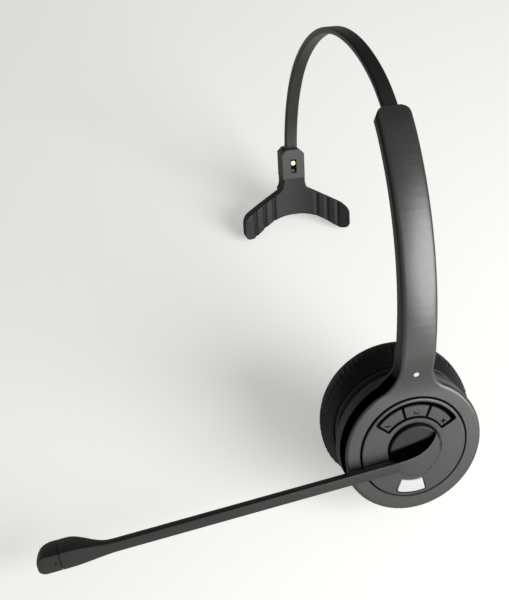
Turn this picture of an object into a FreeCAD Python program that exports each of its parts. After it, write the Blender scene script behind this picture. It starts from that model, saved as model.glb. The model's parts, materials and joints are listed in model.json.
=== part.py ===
import FreeCAD, Part
import os
from math import acos, asin, atan2, cos, degrees, hypot, radians, sin, sqrt, tan

V = FreeCAD.Vector

# Wireless single-ear office headset, in millimetres and degrees.
#
# Every piece is built in the wearer's frame: +X to the back of the head, +Y from
# the ear cup in through the head, +Z up, origin at the middle of the cup's face.
# At the end the whole headset is leant over onto the table that it lies on, and
# the origin moves to the bottom centre of its bounding box.

# ---------------------------------------------------------------- ear cup
cup_radius = 29.15          # outside of the round cup
cup_depth = 12.6            # face to back wall
front_shell_depth = 6.3     # part of that depth that the outer shell takes
cup_wall = 1.6
cup_edge = 1.8              # roundness of the front edge, round the cup and up the arm
back_edge = 1.2             # roundness of the back edge
panel_radius = 22.2
panel_gap = 0.4             # dark ring between the panel and the shell
recess_lip = 0.3            # slanted edge of the shell round the panel
panel_thickness = 1.6
panel_proud = 0.4           # panel stands in front of the shell ring
panel_bevel = 0.5
shelf_width = 1.4           # ledge that the panel and the board seat on
key_room = 2.8              # panel back to board front
board_thickness = 1.0
panel_turn = -4.0           # the keys' symmetry line against the arm

# ---------------------------------------------------------------- keys
key_inner = 13.8
key_outer = 18.9
key_span = 34.5             # angle of each of the three arc keys
key_split = 2.6             # angle between two keys
key_recess = 0.7            # key tops below the panel face
key_edge = 0.3              # slanted edge round the key tops
key_gap_inner = 0.5
key_gap_outer = 1.2
key_flange = 0.5            # hidden lip behind the panel
key_flange_thickness = 0.6
key_travel = 0.35
mute_inner = 14.8
mute_outer = 20.4
mute_half_span = 17.8
mute_clip = 0.9             # cut corner of the mute key
mute_proud = 0.2
mute_gap = 0.35
nib_radius = 1.2
switch_height = 1.3
switch_width = 3.6
slide_gap = 0.05

# ---------------------------------------------------------------- boom and hub
hub_radius = 10.6
hub_gap = 0.5
hub_height = 2.0            # low part of the hub in front of the cup face
hub_crest_height = 2.8      # far end of the crescent
well_depth = 1.3            # hub well below the panel face
well_bevel_width = 0.9      # shallow slant round the hub well
well_bevel_depth = 0.3
well_wall = 1.0
well_floor = 1.2
spigot_radius = 5.9
washer_thickness = 0.3
retainer_radius = 8.3
retainer_thickness = 1.0
boom_height = 4.2           # width of the flat bar
boom_thickness = 4.2
boom_front = 5.3            # bar face in front of the cup face, at the hub
boom_offset = 4.1           # bar centre line below the hub centre
boom_drop = 7.0             # bar below the horizontal
boom_lean = 1.2             # bar leans in towards the mouth
boom_length = 153.6         # hub centre to tip
pod_length = 30.0           # tip to where the bar starts to swell
end_cap_length = 8.8        # tip to the seam of the end cap
pod_height = 7.8
pod_thickness = 11.0
mic_radius = 2.0
mic_length = 3.6
mic_boot_wall = 0.5
mic_hole_radius = 0.45

# ---------------------------------------------------------------- headband
band_width = 6.5
band_thickness = 2.8
band_edge = 1.0
core_width = 3.6
core_thickness = 0.6
arm_radius = 113.0          # middle of the band, inside the arm
arm_low_slope = 96.5        # slope of the arm where it leaves the neck
arm_top_slope = 54.8        # slope where the long arc meets the shoulder's
arm_mouth_slope = 44.0      # slope on the shoulder at the mouth of the arm
arm_start_y = -2.0          # point on the middle of the band's path at the neck
arm_start_z = 43.9
shoulder_radius = 66.0
shoulder_end_slope = 26.2
crown_radius = 97.2
crown_end_slope = -35.5
leg_radius = 71.7
leg_end_slope = -84.8
band_end_length = 11.0      # straight end inside the temple clip
arm_width = 14.7
arm_outer_wall = 1.25
arm_inner_wall = 1.0
arm_low_thickness = 7.2     # arm thickness at the neck
arm_back_edge = 1.6         # roundness of the arm's edges towards the head
arm_end_corner = 5.0
neck_fillet = 12.5          # plan fillet between the neck and the round cup
neck_curve = 30.0           # side curve from the arm down to the cup face
band_clearance = 0.08
band_travel = 26.0          # how far the band pulls out of the arm
mouth_length = 6.0          # narrow part of the channel that catches the stop
stop_width = 9.6
stop_length = 5.0
stop_margin = 0.3
spring_thickness = 0.5
spring_width = 4.4
spring_length = 14.0
spring_inset = 2.0          # from the narrow mouth to the spring

# ---------------------------------------------------------------- temple rest
clip_width = 11.8
clip_thickness = 10.3
clip_height = 15.4
clip_cover = 1.6            # thin inner half of the clip
clip_corner = 2.4
clip_lip = 0.4              # clip's top above the start of the band's straight end
clip_front_to_band = 3.2    # clip's inner face to the band's inner face
rivet_radius = 1.2
rivet_below_top = 7.3
rivet_clearance = 0.05
window_width = 3.0
window_height = 7.2
rock_angle = 6.0
rock_margin = 0.4
rock_play = 0.15            # band to clip, across the band's thickness
pad_half_width = 28.6
pad_drop = 29.2             # clip's lower edge to the leg tips
pad_arch_drop = 19.6        # clip's lower edge to the top of the arch
pad_waist_drop = 5.5
pad_waist_round = 6.0
pad_leg_slope = 28.3
pad_arch_slope = 33.4
pad_arch_round = 27.0
pad_toe = 4.9               # flat end of each leg
pad_toe_round = 2.6
pad_leg_thickness = 6.4
pad_face_radius = 80.0      # hollow face that wraps the head
pad_groove_count = 3
pad_groove_pitch = 5.35
pad_first_groove = 11.7
pad_groove_depth = 0.9
pad_groove_width = 2.2
tongue_width = 6.0
tongue_thickness = 2.4
tongue_above = 4.6
tongue_below = 12.0

# ---------------------------------------------------------------- speaker side
ball_radius = 4.0
ball_clearance = 0.05
ball_y = 10.4               # ball centre behind the cup face
stud_radius = 1.9
retainer_floor = 1.0
retainer_ear = 4.8
retainer_ear_thickness = 1.6
swivel_limit = 10.0         # swivel of the speaker either way
swivel_rest = 7.3           # swivel that it lies at
socket_wall = 1.8
stud_flange = 5.0
stud_flange_thickness = 0.8
housing_radius = 27.2
housing_rim = 4.4
housing_wall = 1.5
housing_clearance = 0.4
baffle_thickness = 1.2
driver_radius = 17.0
driver_depth = 2.8
diaphragm_radius = 15.6
diaphragm_thickness = 0.5
diaphragm_recess = 0.8
magnet_radius = 8.5
magnet_gap = 0.1
sound_hole_radius = 2.2
sound_hole_circle = 8.0
sound_hole_count = 6
cloth_radius = 21.0
cloth_thickness = 0.4
clip_ring_inner = 23.5
clip_ring_thickness = 1.0
cushion_radius = 32.3
cushion_back_radius = 28.7
cushion_skirt = 3.4
cushion_face_y = 35.8       # cushion's face behind the cup face, unswivelled
cushion_bulge = 10.5        # from the face back to the widest round
cushion_hole = 14.0
cushion_round = 6.0
cushion_lip_round = 4.0
soft_gap = 0.3

# ---------------------------------------------------------------- small parts
battery_place = 10.3        # cup axis to the battery's near edge
battery_length = 24.0
battery_width = 13.0
battery_thickness = 4.4
module_place = 10.5         # cup axis to the radio module's near edge
module_side = 11.0
module_height = 1.8
socket_width = 7.6
socket_height = 2.6
socket_length = 6.0
socket_inset = 0.4
socket_wall_t = 0.35
screw_radius = 0.9
screw_head_radius = 1.8
screw_head = 1.1
screw_circle = 23.8
screw_angles = (45.0, 135.0, 225.0, 315.0)
screw_bite = 2.4            # length of a screw inside the outer shell
post_radius = 2.0
light_radius = 1.1
light_z = 33.5


# ================================================================ helpers
def rod(radius, y0, y1, x=0.0, z=0.0):
    """Cylinder along Y."""
    return Part.makeCylinder(radius, y1 - y0, V(x, y0, z), V(0, 1, 0))


def box(x0, x1, y0, y1, z0, z1):
    return Part.makeBox(x1 - x0, y1 - y0, z1 - z0, V(x0, y0, z0))


def outline(corners, place):
    """Closed wire through (u, v, radius) corners; each corner is an arc of its radius."""
    count = len(corners)
    edges = []
    ends = []
    for i in range(count):
        u0, v0 = corners[i - 1][:2]
        u1, v1, radius = corners[i]
        u2, v2 = corners[(i + 1) % count][:2]
        a = (u0 - u1, v0 - v1)
        b = (u2 - u1, v2 - v1)
        la, lb = hypot(*a), hypot(*b)
        a = (a[0] / la, a[1] / la)
        b = (b[0] / lb, b[1] / lb)
        half = acos(max(-1.0, min(1.0, a[0] * b[0] + a[1] * b[1]))) / 2
        if radius <= 0 or half > radians(89.9):
            ends.append(((u1, v1), None, (u1, v1)))
            continue
        reach = radius / tan(half)
        m = (a[0] + b[0], a[1] + b[1])
        lm = hypot(*m)
        off = radius / sin(half) - radius
        ends.append(((u1 + a[0] * reach, v1 + a[1] * reach),
                     (u1 + m[0] / lm * off, v1 + m[1] / lm * off),
                     (u1 + b[0] * reach, v1 + b[1] * reach)))
    for i in range(count):
        start, middle, stop = ends[i]
        if middle:
            edges.append(Part.Arc(place(*start), place(*middle), place(*stop)).toShape())
        following = ends[(i + 1) % count][0]
        if hypot(stop[0] - following[0], stop[1] - following[1]) > 1e-6:
            edges.append(Part.makeLine(place(*stop), place(*following)))
    return Part.Wire(edges)


def slab_y(corners, y0, y1):
    """Plan outline in X and Z, extruded along Y."""
    wire = outline(corners, lambda x, z: V(x, y0, z))
    return Part.Face(wire).extrude(V(0, y1 - y0, 0))


def slab_x(corners, x0, x1):
    """Side outline in Y and Z, extruded along X."""
    wire = outline(corners, lambda y, z: V(x0, y, z))
    return Part.Face(wire).extrude(V(x1 - x0, 0, 0))


def turned(corners):
    """Outline in radius and Y, turned about the cup axis."""
    wire = outline(corners, lambda r, y: V(r, y, 0))
    return Part.Face(wire).revolve(V(0, 0, 0), V(0, 1, 0), 360)


def flared(radius, front, width, depth):
    """Slanted mouth of a round hole that opens to the front."""
    return turned([(0, front - 1.0, 0), (radius + width, front - 1.0, 0),
                   (radius + width, front, 0), (radius, front + depth, 0),
                   (0, front + depth, 0)])


def sector(r0, r1, a0, a1, y0, y1, corner=0.0, clipped=0.0):
    """Part of a flat ring between two angles (0 at +X, 90 at +Z), along Y.

    Its corners are rounded, and the outer one at the first angle may be cut off.
    """
    def at(r, a):
        return V(r * cos(radians(a)), y0, r * sin(radians(a)))

    mid = (a0 + a1) / 2
    edges = [Part.Arc(at(r0, a0), at(r0, mid), at(r0, a1)).toShape(),
             Part.makeLine(at(r0, a1), at(r1, a1)),
             Part.Arc(at(r1, a1), at(r1, mid), at(r1, a0)).toShape(),
             Part.makeLine(at(r1, a0), at(r0, a0))]
    solid = Part.Face(Part.Wire(edges)).extrude(V(0, y1 - y0, 0))
    def upright_edges():
        return [e for e in solid.Edges
                if abs(e.Vertexes[0].Point.y - e.Vertexes[-1].Point.y) > 1e-6]

    def at_clip(edge):
        point = edge.Vertexes[0].Point
        return hypot(point.x - at(r1, a0).x, point.z - at(r1, a0).z) < 1e-6

    if corner > 0:
        kept = [e for e in upright_edges() if not (clipped > 0 and at_clip(e))]
        solid = solid.makeFillet(corner, kept)
    if clipped > 0:
        solid = solid.makeChamfer(clipped, [e for e in upright_edges() if at_clip(e)])
    return solid


def fuse(first, *others):
    return first.fuse(list(others)).removeSplitter()


def on_arc(centre, radius, slope):
    """Point (Y, Z) of a circle where its tangent has the given slope."""
    return (centre[0] - radius * sin(radians(slope)), centre[1] + radius * cos(radians(slope)))


def bent(section, centre, slope0, slope1):
    """Section of (x, radius, corner) points swept along an arc in the Y-Z plane."""
    s, c = sin(radians(slope0)), cos(radians(slope0))
    wire = outline(section, lambda x, r: V(x, centre[0] - r * s, centre[1] + r * c))
    return Part.Face(wire).revolve(V(0, centre[0], centre[1]), V(1, 0, 0), slope1 - slope0)


def strip_section(width, inner, outer, corner=0.0):
    return [(-width / 2, inner, corner), (width / 2, inner, corner),
            (width / 2, outer, corner), (-width / 2, outer, corner)]


# ================================================================ derived places
panel_front = -panel_proud
panel_back = panel_front + panel_thickness
board_front = panel_back + key_room
board_back = board_front + board_thickness
cavity_back = cup_depth - cup_wall
cavity_radius = cup_radius - cup_wall - 0.3
recess_radius = panel_radius + panel_gap
pod_start = boom_length - pod_length
pod_seam = boom_length - end_cap_length
shelf_radius = recess_radius - shelf_width
well_front = panel_front + well_depth
well_back = well_front + well_floor

arm_centre = (arm_start_y + arm_radius * sin(radians(arm_low_slope)),
              arm_start_z - arm_radius * cos(radians(arm_low_slope)))
half_channel = band_thickness / 2 + band_clearance
arm_outer_radius = arm_radius + half_channel + arm_outer_wall
arm_inner_radius = arm_radius - half_channel - arm_inner_wall


def next_centre(centre, radius, slope, new_radius):
    """Centre of the tangent arc that follows at this slope."""
    y, z = on_arc(centre, radius, slope)
    return (y + new_radius * sin(radians(slope)), z - new_radius * cos(radians(slope)))


shoulder_centre = next_centre(arm_centre, arm_radius, arm_top_slope, shoulder_radius)
crown_centre = next_centre(shoulder_centre, shoulder_radius, shoulder_end_slope, crown_radius)
leg_centre = next_centre(crown_centre, crown_radius, crown_end_slope, leg_radius)
arm_tip_length = shoulder_radius * radians(arm_top_slope - arm_mouth_slope)
band_end_y, band_end_z = on_arc(leg_centre, leg_radius, leg_end_slope)
mouth_slope = arm_top_slope + degrees(mouth_length / arm_radius)
tail_slope = mouth_slope + degrees((band_travel + stop_margin) / arm_radius)
stop_slope = tail_slope + degrees(stop_length / arm_radius)
channel_slope = stop_slope + degrees(stop_margin / arm_radius)

clip_face_y = band_end_y - band_thickness / 2 - clip_front_to_band
clip_back_y = clip_face_y + clip_thickness
clip_seam_y = clip_face_y + clip_cover
clip_top = band_end_z + clip_lip
clip_bottom = clip_top - clip_height
rivet_z = clip_top - rivet_below_top


# ================================================================ cup shells
def inner_drum():
    """Round body of the inner half, with its rounded back edge."""
    return turned([(0.0, front_shell_depth, 0.0), (cup_radius, front_shell_depth, 0.0),
                   (cup_radius, cup_depth, back_edge), (0.0, cup_depth, 0.0)])


def neck_plan(y0, y1):
    """Neck strip with its two plan fillets into the round cup."""
    half = arm_width / 2
    reach = cup_radius + neck_fillet
    join_z = sqrt(reach ** 2 - (half + neck_fillet) ** 2)
    touch = cup_radius / reach
    top = arm_start_z + 2.0

    def at(x, z):
        return V(x, y0, z)

    def side(sign):
        cx = sign * (half + neck_fillet)
        ax, az = sign * half, join_z
        bx, bz = cx * touch, join_z * touch
        mx, mz = (ax + bx) / 2 - cx, (az + bz) / 2 - join_z
        scale = neck_fillet / hypot(mx, mz)
        return (ax, az), (cx + mx * scale, join_z + mz * scale), (bx, bz)

    a, m, b = side(1)
    c, n, d = side(-1)
    edges = [Part.makeLine(at(half, top), at(*a)),
             Part.Arc(at(*a), at(*m), at(*b)).toShape(),
             Part.makeLine(at(*b), at(*d)),
             Part.Arc(at(*d), at(*n), at(*c)).toShape(),
             Part.makeLine(at(*c), at(-half, top)),
             Part.makeLine(at(-half, top), at(half, top))]
    return Part.Face(Part.Wire(edges)).extrude(V(0, y1 - y0, 0))


def neck_side(edges, x_half=30.0):
    """Side outline of the neck, extruded across."""
    face = Part.Face(Part.Wire(edges))
    return face.extrude(V(2 * x_half, 0, 0)).translated(V(-x_half, 0, 0))


def neck_front_curve():
    """Two opposite arcs from the arm's outer face down to the cup face."""
    y0, z0 = on_arc(arm_centre, arm_outer_radius, arm_low_slope)
    lean = arm_low_slope - 90.0
    rise = -y0
    middle = acos((1 + cos(radians(lean)) - rise / neck_curve) / 2)
    cy1 = y0 + neck_curve * cos(radians(lean))
    cz1 = z0 + neck_curve * sin(radians(lean))

    def first(a):
        return V(0, cy1 - neck_curve * cos(a), cz1 - neck_curve * sin(a))

    join = first(middle)
    cy2 = join.y - neck_curve * cos(middle)
    cz2 = join.z - neck_curve * sin(middle)

    def second(a):
        return V(0, cy2 + neck_curve * cos(a), cz2 + neck_curve * sin(a))

    upper = Part.Arc(first(radians(lean)), first((radians(lean) + middle) / 2), join).toShape()
    lower = Part.Arc(join, second(middle / 2), second(0)).toShape()
    return upper, lower, V(0, y0, z0), second(0)


def neck_seam_point():
    y, z = on_arc(arm_centre, arm_radius, arm_low_slope)
    return V(0, y, z)


def front_rounded(solid, curve):
    """Rounds the outline's edges that follow the front curve, seen from the side."""
    route = Part.Wire(curve)
    edges = []
    for edge in solid.Edges:
        start, end = edge.Vertexes[0].Point, edge.Vertexes[-1].Point
        middle = edge.valueAt((edge.FirstParameter + edge.LastParameter) / 2)
        across = hypot(start.y - end.y, start.z - end.z) < 0.01 and abs(middle.x) < 0.01
        if route.distToShape(Part.Vertex(0, middle.y, middle.z))[0] < 0.01 and not across:
            edges.append(edge)
    return solid.makeFillet(cup_edge, edges)


def outer_body():
    """Cup and neck of the outer half: one outline behind one front surface."""
    upper, lower, top, bottom = neck_front_curve()
    seam_top = neck_seam_point()
    below = -cup_radius - 2.0
    deep = V(0, front_shell_depth, cup_radius)
    foot = V(0, front_shell_depth, below)
    toe = V(0, 0, below)
    face = Part.makeLine(bottom, toe)
    edges = [Part.makeLine(seam_top, top), upper, lower, face, Part.makeLine(toe, foot),
             Part.makeLine(foot, deep), Part.makeLine(deep, seam_top)]
    side = neck_side(edges)
    plan = fuse(rod(cup_radius, -12.0, cup_depth), neck_plan(-12.0, cup_depth))
    return front_rounded(side.common(plan), [upper, lower, face])


def neck_inner():
    upper, lower, top, bottom = neck_front_curve()
    seam_top = neck_seam_point()
    deep = V(0, front_shell_depth, cup_radius)
    foot = V(0, front_shell_depth, bottom.z - 4.0)
    back_y = cup_depth - back_edge
    back_top_y, back_top_z = on_arc(arm_centre, arm_outer_radius - arm_low_thickness,
                                    arm_low_slope)
    heel = V(0, back_y, bottom.z - 4.0)
    hollow_start = V(0, back_y, bottom.z + 3.0)
    arm_back = V(0, back_top_y, back_top_z)
    bulge = V(0, back_top_y + (back_y - back_top_y) * 0.22, (hollow_start.z + arm_back.z) / 2 - 1.0)
    edges = [Part.makeLine(seam_top, deep), Part.makeLine(deep, foot),
             Part.makeLine(foot, heel), Part.makeLine(heel, hollow_start),
             Part.Arc(hollow_start, bulge, arm_back).toShape(),
             Part.makeLine(arm_back, seam_top)]
    side = neck_side(edges)
    return side.common(neck_plan(-12.0, cup_depth))


def arm_end_cut():
    """Tool that rounds the two corners at the arm's mouth."""
    reach = arm_end_corner
    half = arm_width / 2
    wide = half + 2.0
    angle = degrees(reach / shoulder_radius)
    y, z = on_arc(shoulder_centre, shoulder_radius, arm_mouth_slope)
    block = box(-wide, wide, -12.0, 12.0, -reach, 3.0)
    keep = slab_y([(-half, -reach - 1.0, 0), (half, -reach - 1.0, 0),
                   (half, 0.0, reach), (-half, 0.0, reach)], -13.0, 13.0)
    tool = block.cut(keep)
    tool.rotate(V(0, 0, 0), V(1, 0, 0), arm_mouth_slope - 90.0 - angle / 2)
    return tool.translated(V(0, y, z))


def arm_outer():
    half = arm_width / 2
    skin = half_channel + arm_outer_wall

    def section(radius):
        return [(-half, radius, 0), (half, radius, 0),
                (half, radius + skin, cup_edge), (-half, radius + skin, cup_edge)]

    lower = bent(section(arm_radius), arm_centre, arm_low_slope, arm_top_slope)
    upper = bent(section(shoulder_radius), shoulder_centre, arm_top_slope, arm_mouth_slope)
    return fuse(lower, upper).cut(arm_end_cut())


def arm_inner():
    """Inner half: its back face is an arc about an offset centre, so it tapers."""
    half = arm_width / 2
    low = arm_outer_radius - arm_low_thickness
    turn = radians(arm_low_slope - arm_top_slope)
    offset = (arm_inner_radius - low) / (1 - cos(turn))
    radius = arm_inner_radius - offset
    centre = on_arc(arm_centre, offset, arm_top_slope)
    section = [(-half, radius, arm_back_edge), (half, radius, arm_back_edge),
               (half, radius + 15.0, 0), (-half, radius + 15.0, 0)]
    body = bent(section, centre, arm_low_slope + 8.0, arm_top_slope - 8.0)
    keep = bent(strip_section(arm_width + 4.0, arm_radius - 20.0, arm_radius),
                arm_centre, arm_low_slope, arm_top_slope)
    inner = shoulder_radius - half_channel - arm_inner_wall
    section = [(-half, inner, arm_back_edge), (half, inner, arm_back_edge),
               (half, shoulder_radius, 0), (-half, shoulder_radius, 0)]
    upper = bent(section, shoulder_centre, arm_top_slope, arm_mouth_slope)
    return fuse(body.common(keep), upper).cut(arm_end_cut())


def channel():
    """Slot for the band, pushed in or pulled out, wider where the stop on its tail runs."""
    def slot(width, centre, radius, slope0, slope1):
        section = strip_section(width + 2 * band_clearance,
                                radius - half_channel, radius + half_channel)
        return bent(section, centre, slope0, slope1)

    pulled = arm_top_slope - degrees(arm_tip_length / arm_radius) - 1.0
    long = slot(band_width, arm_centre, arm_radius, channel_slope, pulled)
    tip = slot(band_width, shoulder_centre, shoulder_radius, arm_top_slope, arm_mouth_slope - 2.0)
    wide = slot(stop_width, arm_centre, arm_radius, channel_slope, mouth_slope)
    return fuse(long, tip, wide)


def spring_slopes():
    start = mouth_slope + degrees(spring_inset / arm_radius)
    return start + degrees(spring_length / arm_radius), start


def friction_spring():
    """Leaf let into the arm's inner half, under the band."""
    low = arm_radius - half_channel - spring_thickness
    low_slope, high_slope = spring_slopes()
    return bent(strip_section(spring_width, low, arm_radius - half_channel),
                arm_centre, low_slope, high_slope)


def screw_places():
    return [(screw_circle * cos(radians(a)), screw_circle * sin(radians(a)))
            for a in screw_angles]


def outer_shell():
    body = fuse(outer_body(), arm_outer())
    body = body.cut(rod(recess_radius, -8.0, panel_back))
    body = body.cut(flared(recess_radius, 0.0, recess_lip, recess_lip))
    body = body.cut(rod(shelf_radius, -8.0, front_shell_depth + 1.0))
    body = body.cut(rod(cavity_radius, board_front, front_shell_depth + 1.0))
    body = body.cut(channel()).cut(charging_mouth()).cut(light_hole())
    for x, z in screw_places():
        body = body.cut(rod(screw_radius, board_front - screw_bite, board_front + 1.0, x, z))
    return body


def light_hole():
    return rod(light_radius, -12.0, cup_depth, 0.0, light_z)


def status_light():
    return outer_body().common(light_hole())


def inner_shell():
    body = fuse(inner_drum(), neck_inner(), arm_inner())
    body = body.cut(rod(cavity_radius, front_shell_depth - 1.0, cavity_back))
    body = body.cut(channel()).cut(friction_spring())
    for x, z in screw_places():
        body = fuse(body, rod(post_radius, board_front, cup_depth - back_edge, x, z))
    for x, z in screw_places():
        body = body.cut(rod(screw_radius, board_front - 1.0, cup_depth + 1.0, x, z))
        body = body.cut(rod(screw_head_radius, cup_depth - screw_head, cup_depth + 1.0, x, z))
    for x in retainer_screw_places():
        body = body.cut(rod(screw_radius, cavity_back - 1.0, cavity_back + 1.0, x))
    return body.cut(charging_mouth()).cut(socket_space())


# ================================================================ ball joint
def socket_space():
    """Room for the ball, and the cone in which its neck swings."""
    seat = Part.makeSphere(ball_radius + ball_clearance, V(0, ball_y, 0))
    spread = swivel_limit + 4.0
    near = stud_radius / cos(radians(spread))
    far_y = cup_depth + 6.0
    far = near + (far_y - ball_y) * tan(radians(spread))
    cone = Part.makeCone(near, far, far_y - ball_y, V(0, ball_y, 0), V(0, 1, 0))
    return seat.fuse([cone])


def retainer_screw_places():
    reach = ball_radius + ball_clearance + socket_wall + retainer_ear / 2
    return -reach, reach


def ball_retainer():
    """Cup that holds the inner half of the ball, screwed to the back wall."""
    inner = ball_radius + ball_clearance
    wall = inner + socket_wall
    low = ball_y - inner - retainer_floor
    plate = rod(wall, low, cavity_back)
    ears = box(-wall - retainer_ear, wall + retainer_ear, cavity_back - retainer_ear_thickness,
               cavity_back, -retainer_ear / 2, retainer_ear / 2)
    body = fuse(plate, ears).cut(Part.makeSphere(inner, V(0, ball_y, 0)))
    for x in retainer_screw_places():
        body = body.cut(rod(screw_radius, low - 1.0, cavity_back + 1.0, x))
    return body.cut(rod(inner, ball_y, cavity_back + 1.0))


def retainer_screws():
    solids = []
    seat = cavity_back - retainer_ear_thickness
    for x in retainer_screw_places():
        head = rod(screw_head_radius, seat - screw_head, seat, x)
        solids.append(fuse(head, rod(screw_radius, seat - 0.2, cavity_back + 0.9, x)))
    return Part.makeCompound(solids)


def housing_back(radius):
    """Depth of the housing's conical back, clear of the cup at full swivel."""
    turn = radians(swivel_limit)
    room = cup_depth + housing_clearance - ball_y
    return ball_y + (room + radius * sin(turn)) / cos(turn)


def stud_seat():
    return housing_back(stud_flange) + housing_wall


def stud_end():
    return stud_seat() + stud_flange_thickness


def ball_stud():
    ball = Part.makeSphere(ball_radius, V(0, ball_y, 0))
    neck = rod(stud_radius, ball_y, stud_seat())
    flange = rod(stud_flange, stud_seat(), stud_end())
    return fuse(ball, neck, flange)


def speaker_housing():
    top = housing_top()
    r0, r1 = stud_flange, housing_radius
    inner = r1 - housing_wall
    outer = turned([(0, housing_back(r0), 0), (r0, housing_back(r0), 0),
                    (r1, housing_back(r1), 1.0), (r1, top, 0.4), (0, top, 0)])
    hollow = turned([(0, housing_back(r0) + housing_wall, 0),
                     (r0, housing_back(r0) + housing_wall, 0),
                     (inner, housing_back(inner) + housing_wall, 0),
                     (inner, top + 1.0, 0), (0, top + 1.0, 0)])
    return outer.cut(hollow).cut(rod(stud_radius, ball_y, top))


def housing_top():
    return housing_back(housing_radius) + housing_rim


def baffle_back():
    return housing_top() - baffle_thickness


def speaker_baffle():
    body = rod(housing_radius - housing_wall, baffle_back(), housing_top())
    holes = [rod(sound_hole_radius, baffle_back() - 1.0, housing_top() + 1.0)]
    for i in range(sound_hole_count):
        a = radians(360.0 * i / sound_hole_count)
        holes.append(rod(sound_hole_radius, baffle_back() - 1.0, housing_top() + 1.0,
                         sound_hole_circle * cos(a), sound_hole_circle * sin(a)))
    for hole in holes:
        body = body.cut(hole)
    return body


def driver_frame():
    front = baffle_back()
    body = rod(driver_radius, front - driver_depth, front)
    return body.cut(rod(diaphragm_radius, front - diaphragm_recess, front + 1.0))


def driver_diaphragm():
    floor = baffle_back() - diaphragm_recess
    return rod(diaphragm_radius, floor, floor + diaphragm_thickness)


def driver_magnet():
    return rod(magnet_radius, stud_end() + magnet_gap, baffle_back() - driver_depth)


def speaker_cloth():
    return rod(cloth_radius, housing_top(), housing_top() + cloth_thickness)


def cushion_clip_ring():
    top = housing_top()
    ring = rod(housing_radius, top, top + clip_ring_thickness)
    return ring.cut(rod(clip_ring_inner, top - 1.0, top + clip_ring_thickness + 1.0))


def ear_cushion():
    back = housing_top() + clip_ring_thickness + soft_gap
    skirt = housing_top() - cushion_skirt
    inner = housing_radius + soft_gap
    return turned([(inner, skirt, 0), (cushion_back_radius, skirt, 0.5),
                   (cushion_radius, cushion_face_y - cushion_bulge, 8.0),
                   (cushion_radius, cushion_face_y, cushion_round),
                   (cushion_hole, cushion_face_y, cushion_lip_round),
                   (cushion_hole, back, 0), (inner, back, 0)])


# ================================================================ face panel and keys
def arc_key_angles():
    middle = 90.0 + panel_turn
    step = key_span + key_split
    return [(middle + step * i - key_span / 2, middle + step * i + key_span / 2)
            for i in (1, 0, -1)]


def mute_angles():
    middle = 270.0 + panel_turn
    return middle - mute_half_span, middle + mute_half_span


def nib_end():
    return board_front - switch_height - slide_gap - key_travel


def key_body(r0, r1, a0, a1, front, clipped=0.0):
    cap = sector(r0, r1, a0, a1, front, panel_back + slide_gap + key_flange_thickness,
                 0.5, clipped)
    top = [e for e in cap.Edges if all(abs(v.Point.y - front) < 1e-6 for v in e.Vertexes)]
    cap = cap.makeChamfer(key_edge, top)
    lip_front = panel_back + slide_gap
    lip = sector(r0 - key_flange, r1 + key_flange, a0, a1,
                 lip_front, lip_front + key_flange_thickness)
    radius, angle = (r0 + r1) / 2, radians((a0 + a1) / 2)
    nib = rod(nib_radius, lip_front, nib_end(), radius * cos(angle), radius * sin(angle))
    return fuse(cap, lip, nib)


def arc_key(index):
    a0, a1 = arc_key_angles()[index]
    return key_body(key_inner, key_outer, a0, a1, panel_front + key_recess)


def mute_key():
    a0, a1 = mute_angles()
    return key_body(mute_inner, mute_outer, a0, a1, panel_front - mute_proud, mute_clip)


def key_centres():
    places = []
    for a0, a1 in arc_key_angles():
        places.append(((key_inner + key_outer) / 2, (a0 + a1) / 2))
    places.append(((mute_inner + mute_outer) / 2, sum(mute_angles()) / 2))
    return [(r * cos(radians(a)), r * sin(radians(a))) for r, a in places]


def face_panel():
    body = turned([(0, panel_front, 0), (panel_radius, panel_front, panel_bevel),
                   (panel_radius, panel_back, 0), (0, panel_back, 0)])
    body = fuse(body, rod(hub_radius + hub_gap + well_wall, panel_back - 0.2, well_back))
    well = hub_radius + hub_gap
    body = body.cut(rod(well, -8.0, well_front))
    body = body.cut(flared(well, panel_front, well_bevel_width, well_bevel_depth))
    body = body.cut(rod(spigot_radius + band_clearance, -8.0, well_back + 1.0))
    angles = arc_key_angles()
    low, high = angles[-1][0], angles[0][1]
    ease = degrees(key_gap_inner / key_inner)
    body = body.cut(sector(key_inner - key_gap_inner, key_outer + key_gap_outer,
                           low - ease, high + ease, -8.0, panel_back + 1.0, 0.8))
    a0, a1 = mute_angles()
    ease = degrees(mute_gap / mute_inner)
    return body.cut(sector(mute_inner - mute_gap, mute_outer + mute_gap,
                           a0 - ease, a1 + ease, -8.0, panel_back + 1.0, 0.8,
                           mute_clip + mute_gap / 2))


# ================================================================ electronics
def circuit_board():
    body = rod(cavity_radius - 0.2, board_front, board_back)
    body = body.cut(rod(retainer_radius - 2.0, board_front - 1.0, board_back + 1.0))
    for x, z in screw_places():
        body = body.cut(rod(post_radius + 0.1, board_front - 1.0, board_back + 1.0, x, z))
    return body


def tact_switches():
    half = switch_width / 2
    solids = []
    for x, z in key_centres():
        base = box(x - half, x + half, board_front - switch_height * 0.65, board_front,
                   z - half, z + half)
        plunger = rod(nib_radius * 0.8, board_front - switch_height, board_front, x, z)
        solids.append(fuse(base, plunger))
    return Part.makeCompound(solids)


def radio_module():
    half = module_side / 2
    x0 = -module_place - module_side
    return box(x0, x0 + module_side, board_back, board_back + module_height, -half, half)


def battery():
    x0 = battery_place
    half = battery_length / 2
    return slab_y([(x0, -half, 1.5), (x0 + battery_width, -half, 1.5),
                   (x0 + battery_width, half, 1.5), (x0, half, 1.5)],
                  board_back, board_back + battery_thickness)


def charging_box(x_half, y0, y1, z0, z1):
    return box(-x_half, x_half, y0, y1, z0, z1)


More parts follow.
